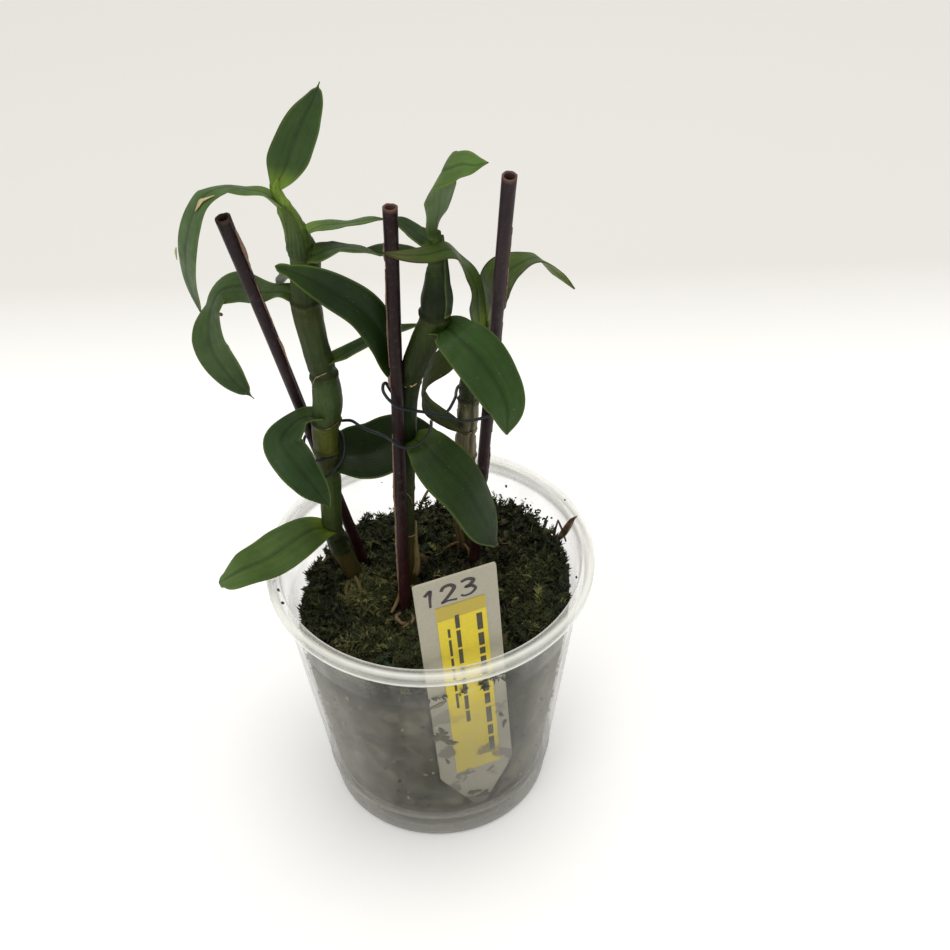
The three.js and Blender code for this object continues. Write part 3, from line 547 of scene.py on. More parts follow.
def stake_material():
    sh = Shader("stake_plastic", 0.42, Specular_IOR_Level=0.16)
    grain = sh.noise(1.0, 4, sh.where((900, 900, 60)))
    dust = sh.noise(700, 4)
    colour = sh.mix(sh.band(grain, 0.35, 0.7, 0, 0.6), sh.paint(), (1.6, 1.5, 1.5), "MULTIPLY")
    colour = sh.mix(sh.band(dust, 0.55, 0.75, 0, 0.2), colour, srgb(110, 92, 86))
    sh.to("Base Color", colour)
    sh.to("Roughness", sh.band(grain, 0.3, 0.7, 0.36, 0.52))
    sh.to("Normal", sh.bump(grain, 0.00015, 0.4))
    return sh.material


def painted_material(name, roughness, size, strength, light, amount):
    """Rough matter: painted colour varied by noise of the given size in mm."""
    sh = Shader(name, roughness, Specular_IOR_Level=0.25)
    grain = sh.noise(1000 / size, 5)
    colour = sh.mix(sh.band(grain, 0.35, 0.75, 0, amount), sh.paint(), srgb(*light))
    sh.to("Base Color", colour)
    sh.to("Normal", sh.bump(grain, 0.0003, strength))
    return sh.material


def medium_material():
    """Damp filling: crumbly on top, soft and blotchy where it lies behind the wall."""
    sh = Shader("damp_medium", 0.85, Specular_IOR_Level=0.2)
    height = sh.put("ShaderNodeSeparateXYZ", {0: sh.where()}).outputs["Z"]
    above = sh.band(height, 0.060, 0.066)
    grain = sh.calc("MULTIPLY", above, sh.noise(700, 5))
    smear = sh.noise(1.0, 4, sh.where((150, 150, 90)))
    colour = sh.mix(sh.band(grain, 0.35, 0.75, 0, 0.5), sh.paint(), srgb(52, 50, 36))
    colour = sh.mix(sh.band(smear, 0.45, 0.62, 0, 0.45), colour, (0.45, 0.45, 0.42), "MULTIPLY")
    sh.to("Base Color", colour)
    sh.to("Normal", sh.bump(grain, 0.0003, 0.9))
    return sh.material


def pot_material():
    """Milky see-through plastic, clearer on the wall and denser at the rim, with dried splashes and a painted
    glow.
    """
    sh = Shader("clear_plastic", 0.2, Specular_IOR_Level=0.5, Emission_Color=(1, 1, 0.96, 1))
    cloud = sh.noise(70, 4)
    spots = sh.noise(300, 3)
    streak = sh.noise(1.0, 3, sh.where((160, 160, 30)))
    parts = sh.put("ShaderNodeSeparateColor", {0: sh.paint()}).outputs  # red: density, green: whiteness, which also sets the painted glow
    colour = sh.mix(parts["Green"], srgb(82, 77, 64), srgb(238, 238, 230))
    colour = sh.mix(sh.band(cloud, 0.4, 0.7, 0, 0.3), colour, srgb(180, 178, 160))
    colour = sh.mix(sh.band(spots, 0.68, 0.76, 0, 0.6), colour, srgb(70, 66, 54))
    sh.to("Base Color", colour)
    density = sh.calc("ADD", parts["Red"], sh.calc("ADD", sh.band(cloud, 0.3, 0.7, -0.03, 0.04),
                                                   sh.band(streak, 0.35, 0.7, -0.02, 0.04)))
    density = sh.calc("MINIMUM", sh.calc("ADD", density, sh.band(spots, 0.68, 0.76, 0, 0.25)), 1.0)
    edge_on = sh.put("ShaderNodeLayerWeight", {"Blend": 0.5}).outputs["Facing"]
    density = sh.calc("MINIMUM", sh.calc("ADD", density, sh.band(edge_on, 0.5, 0.95, 0, 0.28)), 1.0)
    sh.to("Alpha", density)
    sh.to("Emission Strength", sh.band(parts["Green"], 0.55, 1, 0.03, 0.24))  # painted glow: the milky plastic emits light by its whiteness, most at the rim, though it is no lamp
    sh.to("Roughness", sh.band(cloud, 0.3, 0.7, 0.18, 0.34))
    sh.to("Normal", sh.bump(sh.noise(300, 3), 0.0001, 0.3))
    return sh.material


def label_material(name, clean, soil, darker_below, roughness=0.42):
    """Sheet that turns darker towards its lower end, with soil-coloured patches there."""
    sh = Shader(name, roughness, Specular_IOR_Level=0.4)
    height = sh.put("ShaderNodeSeparateXYZ", {0: sh.where()}).outputs["Z"]
    # The sheet turns darker below the given height, evenly and in patches.
    low = sh.band(height, darker_below, darker_below - 0.03)
    patches = sh.noise(75, 5)
    fine = sh.noise(900, 3)
    even_darkening = sh.calc("MULTIPLY", low, 0.42)
    darkening = sh.calc("MAXIMUM", even_darkening, sh.calc("MULTIPLY", low, sh.band(patches, 0.56, 0.6, 0, 0.9)))
    colour = sh.mix(sh.band(fine, 0.4, 0.8, 0, 0.12), srgb(*clean), srgb(*soil))
    colour = sh.mix(darkening, colour, srgb(*soil))
    sh.to("Base Color", colour)
    sh.to("Normal", sh.bump(fine, 0.00005, 0.3))
    return sh.material


def plain_material(name, colour, roughness, size, darker):
    """Coloured matter with a small change of tone."""
    sh = Shader(name, roughness)
    tone = sh.noise(1000 / size, 3)
    sh.to("Base Color", sh.mix(sh.band(tone, 0.4, 0.7, 0, 0.7), srgb(*colour), srgb(*darker)))
    sh.to("Normal", sh.bump(tone, 0.00005, 0.3))
    return sh.material


LEAF = leaf_material("leaf_skin", 0.46, 0.22)
OLD_LEAF = leaf_material("old_leaf_skin", 0.46, 0.35)
DULL_LEAF = leaf_material("dull_leaf_skin", 0.8, 0.35)
CANE = cane_material()
STAKE = stake_material()
POT = pot_material()
MEDIUM = medium_material()
MOSS = painted_material("moss", 0.8, 0.8, 0.6, (120, 124, 76), 0.3)
DRY = painted_material("dry_papery_tissue", 0.7, 1.0, 0.6, (190, 170, 130), 0.45)
ROOT = painted_material("root_skin", 0.7, 1.0, 0.6, (150, 128, 90), 0.4)
DRY_SOIL = painted_material("dry_soil", 0.85, 1.2, 0.6, (96, 92, 70), 0.4)
# The label sheet's grey is painted shade: its white plastic is painted darker for a face turned from the
# light.
LABEL_SHEET = label_material("label_sheet", (174, 170, 150), (72, 66, 50), 0.076)
STICKER_PAPER = label_material("sticker_paper", (230, 208, 44), (104, 94, 56), 0.068, 0.55)
OVERLAP = label_material("sticker_overlap", (190, 170, 62), (150, 132, 56), 0.06, 0.5)
WIRE = plain_material("coated_wire", (7, 23, 25), 0.48, 2, (4, 14, 15))
INK = plain_material("marker_ink", (36, 14, 24), 0.5, 0.6, (52, 26, 38))
PRINT = plain_material("printed_lines", (58, 54, 34), 0.6, 0.6, (84, 78, 48))
METAL = plain_material("wire_core", (150, 150, 146), 0.35, 1, (110, 110, 104))
METAL.node_tree.nodes["Principled BSDF"].inputs["Metallic"].default_value = 1.0


# ---------------------------------------------------------------- canes
AXES = {}
for cane_name, stations in CANES.items():
    line, share = spaced(stations, 420)
    size = np.array(stations, float)[:, 3] / 2
    at = share * (len(size) - 1)
    low = np.floor(np.minimum(at, len(size) - 1.001)).astype(int)
    ease = at - low
    radius = size[low] + (size[low + 1] - size[low]) * (0.5 * ease + 0.5 * ease**2 * (3 - 2 * ease))
    AXES[cane_name] = (line, radius)


def on_cane(cane, z, theta, lift=0.0):
    """Point of a cane's skin at a height and a direction in degrees from +X."""
    line, radius = AXES[cane]
    centre = np.array([np.interp(z, line[:, 2], line[:, k]) for k in range(3)])
    r = np.interp(z, line[:, 2], radius) + lift
    return centre + r * np.array([math.cos(math.radians(theta)), math.sin(math.radians(theta)), 0])


# Nodes: height, ridge height. Sheaths: bottom, top, direction of the high side, rise, relief.
# Bands: height, colour.
CANE_FORM = {
    "cane_left": dict(
        nodes=[(71.5, 0.1), (80.5, 0.25), (86.5, 0.35), (106, 0.1), (116.5, 0.3), (126.3, 0.45),
               (141, 0.3), (163.8, 0.4), (179, 0.3), (189.5, 0.15)],
        sheaths=[(86.8, 106, 30, 3, 0.12), (126.5, 141.5, 10, 2.5, 0.16), (164, 179, 0, 3, 0.18),
                 (143, 163, 150, 1.5, 0.1), (179.5, 190, 180, 3, 0.2)],
        bands=[(60, (58, 46, 30)), (72, (64, 52, 34)), (80, (70, 58, 40)), (80.6, (38, 42, 24)),
               (86, (36, 40, 24)), (87, (56, 60, 44)), (98, (62, 72, 46)), (106, (62, 74, 46)),
               (110, (58, 60, 42)),
               (116.4, (66, 64, 36)), (117, (76, 76, 38)), (126, (78, 80, 40)), (126.6, (60, 68, 44)),
               (134, (62, 72, 52)), (142, (52, 60, 42)), (150, (50, 58, 40)), (160, (56, 60, 38)),
               (163.5, (54, 56, 34)), (165, (44, 52, 34)), (173, (62, 72, 48)), (181, (76, 88, 54)),
               (187, (92, 106, 62)), (191, (108, 124, 66)), (198, (122, 140, 72))]),
    "cane_middle": dict(
        nodes=[(76, 0.2), (91, 0.3), (106, 0.25), (121, 0.4), (141.5, 0.35), (162.5, 0.45), (178, 0.2)],
        sheaths=[(74, 91, -70, 3, 0.25), (106.5, 121, 20, 2, 0.12), (121.5, 141, -60, 2, 0.14),
                 (142, 162, 0, 2, 0.14), (163, 178.5, 60, 2, 0.16)],
        bands=[(60, (56, 48, 30)), (74, (62, 52, 32)), (90, (74, 62, 40)), (92, (48, 50, 30)),
               (106, (60, 60, 40)), (120, (32, 44, 24)), (134, (30, 40, 26)), (141, (36, 42, 28)),
               (143, (36, 42, 24)), (152, (32, 40, 22)), (158, (46, 54, 28)), (162, (50, 58, 30)),
               (163.5, (26, 34, 22)), (172, (30, 40, 26)), (178, (48, 58, 34)), (186, (60, 76, 40))]),
    "cane_right": dict(
        nodes=[(76, 0.2), (90, 0.35), (102, 0.35), (112.5, 0.5), (122.8, 0.45), (133, 0.35), (144, 0.25)],
        sheaths=[(76.5, 90, -60, 2, 0.25), (90.5, 102, 100, 2, 0.22), (102.5, 112, -90, 2, 0.25),
                 (113, 122.5, -30, 2, 0.25), (134, 143, -90, 1.5, 0.15)],
        bands=[(60, (70, 56, 38)), (76, (96, 82, 58)), (100, (108, 100, 76)), (112, (124, 118, 94)),
               (121, (110, 108, 84)), (124, (58, 66, 48)), (134, (52, 62, 42)), (146, (56, 68, 40)),
               (152, (60, 74, 42))]),
}


def scar_line(height, theta):
    """Uneven height of a scar in the directions theta."""
    return height + 0.35 * np.sin(theta + height) + 0.15 * np.sin(5 * theta)


def make_cane(name):
    form = CANE_FORM[name]
    centres, radius = AXES[name]
    withered = name == "cane_right"
    tangents = unit(np.gradient(centres, axis=0))
    ex = unit(np.array([1.0, 0, 0]) - tangents * tangents[:, :1])
    ey = np.cross(tangents, ex)
    sides = 56
    turn = directions(sides)
    z, theta = np.meshgrid(centres[:, 2], turn, indexing="ij")
    relief = np.zeros_like(z)
    for height, ridge in form["nodes"]:
        above = z - scar_line(height, theta)
        relief += ridge * np.exp(-(above / 0.75) ** 2)
        relief -= 0.45 * ridge * np.exp(-((above - 1.5) / 0.8) ** 2)
    for bottom, top, side, rise, proud in form["sheaths"]:
        mouth = top - rise + rise * np.cos(theta - math.radians(side))
        mouth = mouth + 0.3 * np.sin(3 * theta + top) + 0.2 * np.sin(7 * theta)
        under_mouth = 1 - smooth(z, mouth - 0.25, mouth + 0.25)
        relief += proud * smooth(z, bottom - 0.4, bottom + 0.4) * under_mouth
    furrows = 1.6 if withered else 0.8
    relief += 0.05 * furrows * np.sin(11 * theta + 0.15 * z)
    relief += 0.04 * furrows * np.sin(17 * theta - 0.1 * z)
    if withered:
        crease = np.stack([6 * np.cos(theta), 6 * np.sin(theta), 0.12 * z], 2)
        relief += 0.28 * np.abs(rough(crease, 1.6, 2, 61)) * smooth(z, 126, 121) - 0.1
    ring = spokes(ex, ey, turn)
    skin = (centres[:, None] + ring * (radius[:, None] + relief)[:, :, None]).reshape(-1, 3)
    ring = ring.reshape(-1, 3)
    skin = skin + ring * (0.09 * furrows * rough(skin, 3.2, 3, 5))[:, None]
    heights = np.array([band[0] for band in form["bands"]], float)
    tones = np.array([srgb(*band[1]) for band in form["bands"]])
    wavy = skin[:, 2] + 0.5 * noise3(skin, 2.2, 3)
    paint = np.stack([np.interp(wavy, heights, tones[:, k]) for k in range(3)], 1)
    for height, ridge in form["nodes"]:
        above = skin[:, 2] - scar_line(height, theta.ravel())
        dark = np.exp(-((above - 0.7) / 0.4) ** 2) * min(1, ridge * 2.6)
        paint = blend(paint, srgb(34, 26, 18), 0.65 * dark[:, None])
    paint = paint * (1 + 0.22 * rough(skin * (1, 1, 0.35), 2.4, 3, 8))[:, None]
    if withered:
        fibre = rough(np.column_stack([ring[:, :2] * 6, skin[:, 2] * 0.12]), 1.3, 2, 62)
        paint = paint * (1 + 0.75 * smooth(skin[:, 2], 126, 120) * fibre)[:, None]
    else:
        paint = paint * LIVING
    piece(name + "_skin", skin, closed_rings(len(centres), sides), CANE, [name], paint=paint)


for cane_name in CANES:
    make_cane(cane_name)


# ---------------------------------------------------------------- leaves
ROWS, ACROSS = 84, 20
LEAF_THICKNESS = 0.62


def leaf_frame(leaf):
    """Shares of a blade's length, and there its middle line, across and outward directions."""
    centres, _ = spaced(leaf["midrib"], ROWS)
    turn = math.radians(leaf["heading"])
    tangents, sides, normals = frames_along(centres, np.array([-math.sin(turn), math.cos(turn), 0]))
    s = np.linspace(0, 1, ROWS)
    roll = np.radians(spread(leaf["roll"], s))[:, None]
    across = sides * np.cos(roll) + normals * np.sin(roll)
    return s, centres, across, np.cross(tangents, across)


def width_share(s, leaf):
    """Share of a blade's full width along its length."""
    neck, shoulder, taper = leaf["neck"], leaf["shoulder"], leaf["taper"]
    rise = neck + (1 - neck) * np.sin(math.pi / 2 * np.clip(s / shoulder, 0, 1))
    fall = np.cos(math.pi / 2 * np.clip((s - shoulder) / (1 - shoulder), 0, 1) ** taper)
    return np.where(s < shoulder, rise, fall)


def make_leaf(name, leaf, looks, material, seed, thickness=LEAF_THICKNESS, tint=LIVING):
    s, centres, across, out = leaf_frame(leaf)
    share = width_share(s, leaf)
    if "prong" in looks:
        share = share * (1 - 0.62 * smooth(s, looks["prong"] - 0.02, looks["prong"] + 0.01))
    if "blunt" in looks:
        start = 1 - looks["blunt"]
        cap = np.sqrt(np.clip(1 - ((s - start) / looks["blunt"]) ** 2, 0, 1))
        share = np.where(s > start, np.interp(start, s, share) * cap, share)
    half = np.maximum(leaf["width"] * share, 0.25) / 2
    x = np.linspace(-1, 1, ACROSS + 1)
    x = np.sign(x) * np.abs(x) ** 0.85
    gutter = leaf["fold"] + 26 * (1 - smooth(s, 0.0, 0.22))
    fold = np.radians(gutter)[:, None]
    lean = np.abs(x)[None]
    flat = half[:, None] * x[None] * np.cos(fold)
    rise = half[:, None] * np.sin(fold) * (np.sqrt(lean**2 + 0.01) - 0.1)
    rise = rise - 0.03 * half[:, None] * lean**4
    wave = 0.16 * np.sin(2 * math.pi * (2.3 * s[:, None] + 0.13 * seed) + 1.4 * np.sign(x)[None])
    rise = rise + wave * lean**3 * smooth(s, 0.1, 0.3)[:, None] * min(1, leaf["width"] / 10)
    aside = half[:, None] * x[None]
    groove = 0.16 * np.exp(-(aside / 0.4) ** 2) * (1 - s[:, None]) ** 0.5
    thick = thickness * (1 - 0.62 * lean**3) * np.ones((ROWS, 1)) * (1 - 0.35 * s[:, None])
    middle = centres[:, None] + across[:, None] * flat[:, :, None]
    upper = middle + out[:, None] * (rise + thick / 2 - groove)[:, :, None]
    lower = middle + out[:, None] * (rise - thick / 2 - 0.9 * groove)[:, :, None]
    vertices = np.vstack([upper.reshape(-1, 3), lower.reshape(-1, 3)])
    row = ACROSS + 1
    under = ROWS * row
    faces = grid(ROWS, row, flip=True) + grid(ROWS, row, under)
    for i in range(ROWS - 1):
        a, b = i * row, i * row + ACROSS
        faces += [(a, a + row, under + a + row, under + a), (b, under + b, under + b + row, b + row)]
    last = (ROWS - 1) * row
    for k in range(ACROSS):
        faces += [(k, under + k, under + k + 1, k + 1)[::-1],
                  (last + k, last + k + 1, under + last + k + 1, under + last + k)[::-1]]
    spread_s = np.repeat(s[:, None], row, 1)
    paints = []
    for face in ("upper", "lower"):
        tip_share, vein_share = (1, 0.5) if face == "upper" else (0.4, 0.25)
        base = (1 - smooth(spread_s, 0.04, 0.24))[:, :, None]
        tip = tip_share * smooth(spread_s, 0.72, 1.0)[:, :, None]
        rim = 0.6 * smooth(lean * half[:, None] - half[:, None], -0.55, -0.1)[:, :, None]
        vein = vein_share * np.exp(-(aside / 0.22) ** 2)[:, :, None]
        tone = blend(srgb(*looks[face]), srgb(*looks["base"]), base)
        tone = blend(tone, srgb(*looks["tip"]), tip)
        tone = blend(tone, srgb(*looks.get("margin", PALE_MARGIN)), rim)
        tone = blend(tone, srgb(*looks.get("midrib", MIDRIB)), vein)
        paints.append(tone.reshape(-1, 3))
    paint = np.vstack(paints) * (1 + 0.16 * rough(vertices, 7, 3, seed))[:, None] * tint
    uv_one = np.stack([np.broadcast_to(x[None] / 2 + 0.5, (ROWS, row)), spread_s], 2).reshape(-1, 2)
    return piece(name + "_blade", vertices, faces, material, [name],
                 uv=np.vstack([uv_one, uv_one]), paint=paint)


for index, (leaf_name, leaf) in enumerate(LEAVES.items()):
    old = leaf_name.startswith("leaf_right")
    skin = DULL_LEAF if leaf_name == "leaf_right_3" else OLD_LEAF if old else LEAF
    make_leaf(leaf_name, leaf, LOOKS[leaf_name], skin, index)


def hugging_sheet(name, cane, outline, lift, thickness, colours):
    """Closed sheet that hugs a stem; outline rows are (height, from direction, to direction)."""
    rows, columns = 40, 26
    t = np.linspace(0, 1, rows)
    heights, lows, highs = (spread(np.array(outline, float)[:, k], t) for k in range(3))
    body, top, rim, foot = (srgb(*colours[k]) for k in ("body", "top", "edge", "base"))
    outer, inner, paint = [], [], []
    for height, low, high, share in zip(heights, lows, highs, t):
        for u in np.linspace(0, 1, columns):
            bulge = lift * (0.35 + 0.65 * math.sin(math.pi * u) ** 0.5)
            bulge += 0.07 * math.sin(15 * math.pi * u)
            turn = low + (high - low) * u
            outer.append(on_cane(cane, height, turn, bulge))
            inner.append(on_cane(cane, height, turn, bulge - thickness))
            edge = min(1, math.exp(-u / 0.06) + 0.6 * math.exp(-(1 - u) / 0.05))
            tone = blend(body * (1 + 0.25 * math.sin(31 * u)), top, share)
            tone = blend(tone, rim, 0.7 * edge)
            paint.append(blend(tone, foot, 0.8 * max(0.0, 1 - share / 0.12)))
    under = rows * columns
    faces = grid(rows, columns) + grid(rows, columns, under, flip=True)
    for i in range(rows - 1):
        a, b = i * columns, (i + 1) * columns - 1
        faces += [(a, a + columns, under + a + columns, under + a),
                  (b, under + b, under + b + columns, b + columns)]
    last = under - columns
    for k in range(columns - 1):
        faces += [(k, under + k, under + k + 1, k + 1),
                  (last + k, last + k + 1, under + last + k + 1, under + last + k)]
    return piece(name, outer + inner, faces, CANE, uv=np.tile([[0.5, 0.5]], (2 * under, 1)),
                 paint=np.array(paint + paint))


hugging_sheet("sheath_middle", "cane_middle",
              [(163.4, -52, 8), (165, -54, 22), (170, -50, 30), (175, -44, 30), (180, -30, 26),
               (184.5, -8, 18)], 0.55, 0.4,
              dict(body=(34, 50, 30), top=(48, 66, 38), edge=(104, 112, 66), base=(128, 124, 62)))
hugging_sheet("sheath_left", "cane_left",
              [(177.6, -150, -66), (181, -140, -60), (185, -128, -52), (188.5, -110, -44),
               (191, -92, -60)], 0.75, 0.4,
              dict(body=(62, 78, 46), top=(86, 102, 54), edge=(84, 90, 56), base=(74, 80, 48)))
hugging_sheet("foot_sheath_middle", "cane_middle",
              [(75, -70, 40), (81, -55, 42), (87, -38, 36), (93, -10, 22)], 0.5, 0.35,
              dict(body=(132, 112, 76), top=(150, 132, 94), edge=(92, 72, 46), base=(84, 66, 42)))

BRACT_LOOKS = dict(upper=(112, 86, 70), lower=(92, 70, 56), base=(72, 52, 40), tip=(104, 80, 62),
                   margin=(60, 42, 30), midrib=(58, 40, 28))
BRACT = dict(heading=20, roll=[0, 20, 0], width=4.42, fold=62, neck=0.6, shoulder=0.4, taper=1.2,
             midrib=[(34.9, 12.8, 73.3), (37.2, 12.1, 76.6), (38.6, 10.8, 81), (39.3, 9.4, 84.8),
                     (40, 8.3, 87.4)])
make_leaf("dry_bract", BRACT, BRACT_LOOKS, DRY, 31, thickness=0.4, tint=np.ones(3))


# ---------------------------------------------------------------- stakes
SEAMS = {  # split: direction from +X in degrees, then torn lengths (from, to below the top, width)
    "stake_left": (-22, [(3, 16, 1.15), (18, 34, 0.75), (37, 47, 0.85), (84, 92, 1.1)]),
    "stake_middle": (-165, [(9, 14, 0.8), (16, 44, 0.65), (46, 50, 1.0), (64, 118, 0.85)]),
    "stake_right": (-12, [(14, 40, 0.6), (44, 84, 0.5), (90, 104, 0.5)]),
}
FLARES = {"stake_left": 0.42, "stake_middle": 0.28, "stake_right": 0.24}
STAKE_TONES = {"stake_left": (38, 25, 29), "stake_middle": (30, 14, 16), "stake_right": (40, 28, 32)}


def make_stake(name, seed):
    foot, top = (np.array(STAKES[name][k], float) for k in ("foot", "top"))
    axis = unit(top - foot)
    length = np.linalg.norm(top - foot)
    ex = unit(np.cross(np.array([0, 1.0, 0]), axis))
    ey = np.cross(axis, ex)
    rows, sides = 160, 40
    at = np.linspace(-STAKE_DEPTH, length, rows)
    turn = directions(sides)
    ring = spokes(ex[None], ey[None], turn)[0]
    seam, torn = SEAMS[name]
    off = np.abs((turn - math.radians(seam) + math.pi) % (2 * math.pi) - math.pi)
    outer = []
    for d in at:
        wide = STAKE_RADIUS + FLARES[name] * math.exp((d - length) / 30)
        r = wide + 0.03 * np.sin(3 * turn + 0.08 * d) - 0.16 * np.exp(-(off / 0.12) ** 2)
        ragged = 0.07 * np.sin(3 * turn + seed) + 0.05 * np.sin(7 * turn) if d == at[-1] else 0
        outer.append(foot + axis * (d + np.reshape(ragged, (-1, 1))) + ring * np.reshape(r, (-1, 1)))
    bore = []
    for depth, r in ((0, 1.3), (0.3, 1.22), (3, 1.15), (BORE_DEPTH, 1.1)):
        bore.append(foot + axis * (length - depth) + ring * r)
    ends = [foot + axis * (length - BORE_DEPTH), foot - axis * STAKE_DEPTH]
    vertices = np.vstack([*outer, *bore, *ends])
    rings = rows + len(bore)
    faces = grid(rings, sides, wrap=True) + fans(rings, sides, rings * sides, rings * sides + 1)
    heights = vertices[:, 2]
    reddish = (1 - smooth(heights, 72, 120))[:, None] * 0.7
    paint = blend(srgb(*STAKE_TONES[name]), srgb(50, 24, 24), reddish)
    paint = paint * (1 + 0.25 * rough(vertices, 4, 2, seed))[:, None]
    paint[rows * sides:] = srgb(46, 36, 38)
    paint[(rows - 1) * sides:(rows + 2) * sides] = srgb(92, 70, 64)
    piece(name + "_tube", vertices, faces, STAKE, [name], paint=paint)
    # Torn skin that stands off along the split.
    strips = Batch()
    rng = np.random.default_rng(40 + seed)
    for start, stop, widest in torn:
        along = np.arange(length - stop, length - start, 0.45)
        here = np.column_stack([along, 0 * along, 0 * along + 9 * seed])
        angle = math.radians(seam) + 0.12 * noise3(here, 6, seed)
        dirs = spokes(ex[None], ey[None], angle)[0]
        lateral = spokes(ex[None], ey[None], angle + math.pi / 2)[0]
        ends = np.sin(np.linspace(0.12, math.pi - 0.12, len(along))) ** 0.35
        width = widest * ends * (0.72 + 0.2 * noise3(here, 4.5, 3) + 0.14 * noise3(here, 1.2, 4))
        reach = 1.42 + FLARES[name] * np.exp((along - length) / 30) + width * 0.4
        tilt = unit(dirs + lateral * (0.5 * noise3(here, 7, 5))[:, None])
        tone = srgb(96, 70, 62) * rng.uniform(0.8, 1.2) if widest < 0.8 else srgb(128, 98, 88)
        strips.add(*ribbon(foot + axis * along[:, None] + dirs * reach[:, None], tilt, width, 0.16), tone)
    strips.make(name + "_torn_skin", DRY)


for index, stake_name in enumerate(STAKES):
    make_stake(stake_name, index)


# ---------------------------------------------------------------- wire ties
for tie_name, points in TIES.items():
    line = catmull(points, 10)
    coat = Batch()
    coat.add(*tube(line, WIRE_RADIUS, 14), srgb(22, 52, 56))
    coat.make(tie_name + "_coating", WIRE, [tie_name])
    core = Batch()
    for tip, inner in ((line[0], line[1]), (line[-1], line[-2])):
        way = unit(tip - inner)
        core.add(*tube([tip - way * 0.2, tip + way * 0.25], CORE_RADIUS, 10), srgb(150, 150, 146))
    core.make(tie_name + "_core", METAL)


# ---------------------------------------------------------------- pot
def wall_radius(z):
    return WALL_FOOT_RADIUS + (z - WALL_FOOT_Z) * WALL_TAPER


def pot_profile():
    """Rings of the pot: radius, height, density, whiteness, from under the foot round to the floor; whiteness
    also sets the painted glow, and some rows paint light and shade lines on the rim.
    """
    top, rim, base = POT_HEIGHT, RIM_OUTER_RADIUS, BASE_RADIUS
    t = WALL_THICKNESS
    wall, lining, clear = (0.095, 0.5), (0.04, 0.5), (0.05, 1.0)
    profile = [
        (base - 1.2, 0, 0.6, 0.15), (base - 0.35, 0.25, 0.6, 0.05), (base, 0.9, 0.5, 0.15),
        (base + 0.5, 4, 0.42, 0.15), (base + 1.05, 8.9, 0.4, 0.15), (base + 1.2, 9.5, 0.6, 0),
        (base + 1.65, 10.1, 0.3, 0.5), (wall_radius(13) + t, 13, 0.12, 0.35)]
    profile += [(wall_radius(z) + t, z, *wall) for z in (22, 30, 38, 46, 54, 62, 65.5)]
    profile += [(wall_radius(z) + t, z, *clear) for z in (67, 70, 76, 77.6)]
    profile += [
        # The dim row under the rim is a painted shadow line; the dense white rows on the beads are painted
        # highlight lines.
        (wall_radius(78) + t + 0.5, top - 4.85, 0.5, 0.1), (rim - 1.3, top - 4.7, 0.3, 0.4),
        (rim - 0.5, top - 4.3, 0.5, 0.3), (rim - 0.25, top - 3.7, 0.7, 1.0),
        (rim - 0.05, top - 2.4, 0.25, 1.0),
        (rim, top - 1.4, 0.25, 1.0), (rim - 0.2, top - 0.7, 0.55, 1.0), (rim - 0.7, top - 0.2, 0.75, 1.0),
        (rim - 1.4, top, 0.35, 1.0), (rim - 2.0, top - 0.25, 0.15, 0.8), (rim - 2.35, top - 0.55, 0.15, 0.6),
        (rim - 2.75, top - 0.4, 0.2, 0.9), (rim - 3.15, top - 0.45, 0.5, 1.0),
        (rim - 3.45, top - 0.9, 0.5, 0.8), (rim - 3.9, top - 2.4, 0.3, 0.5),
        (wall_radius(78), top - 5, 0.1, 0.9), (wall_radius(74), 74, 0.02, 1)]
    profile += [(wall_radius(z), z, *lining) for z in (70, 62, 54, 46, 38, 30, 22, 14, 10.6)]
    profile += [(base - 0.9, 9.4, 0.2, 0.6), (base - 1.3, 5, 0.2, 0.5), (base - 1.7, 2.4, 0.3, 0.5),
                (base - 2.3, FLOOR_THICKNESS, 0.4, 0.5)]
    return np.array(profile, float)


def drill_drains(pot):
    """Cuts the drain holes in the floor."""
    drills = []
    for i in range(DRAIN_HOLES):
        angle = 2 * math.pi / DRAIN_HOLES * (i + 0.5)
        x, y = DRAIN_CIRCLE * MM * math.cos(angle), DRAIN_CIRCLE * MM * math.sin(angle)
        bpy.ops.mesh.primitive_cylinder_add(
            vertices=32, radius=DRAIN_RADIUS * MM, depth=4 * FLOOR_THICKNESS * MM,
            location=(x, y, FLOOR_THICKNESS / 2 * MM))
        drills.append(bpy.context.object)
    for drill in drills:
        cut = pot.modifiers.new("drain_hole", "BOOLEAN")
        cut.operation, cut.object, cut.solver = "DIFFERENCE", drill, "EXACT"
    graph = bpy.context.evaluated_depsgraph_get()
    cut_mesh = bpy.data.meshes.new_from_object(pot.evaluated_get(graph))
    pot.modifiers.clear()
    pot.data = cut_mesh
    for drill in drills:
        bpy.data.objects.remove(drill)


def make_pot():
    profile = pot_profile()
    facets = 200
    turn = directions(facets)
    rings = [circle(turn, r, z) for r, z, _, _ in profile]
    vertices = np.vstack([*rings, [0, 0, FLOOR_THICKNESS], [0, 0, 0]])
    inside, under = len(vertices) - 2, len(vertices) - 1
    faces = grid(len(rings), facets, wrap=True) + fans(len(rings), facets, inside, under)
    paint = np.zeros((len(vertices), 3))
    paint[:-2, :2] = np.repeat(profile[:, 2:], facets, 0)
    paint[-2:, :2] = (0.4, 0.5)
    drill_drains(piece("pot_shell", vertices, faces, POT, ["pot"], paint=paint))


make_pot()


# ---------------------------------------------------------------- growing medium
EDGE_INSETS = [0, 0, 0, 0, 0, 0.4, 1.6, 4.5, 1.6, 2.6, 3, 2.2, 2.8, 0.6, 0, 0, 0, 0, 0, 0, 0, 0, 0, 0, 0]
EDGE_RISES = [5.8, 6.2, 6, 6.5, 5, 1.6, 0.5, 0, 1, 0.8, 0, 0, 0.5, 0, 0, 0, 0, 0, 0, 0, 0, 0.5, 2, 4.4, 5.8]
MOUNDS = [(-17, -1, 8, 3), (-17, -18, 6, 2), (10, 22, 7, 2), (2, -22, 10, 1)]
SLOT_MARGIN, SLOT_BACK = 0.5, 0.9


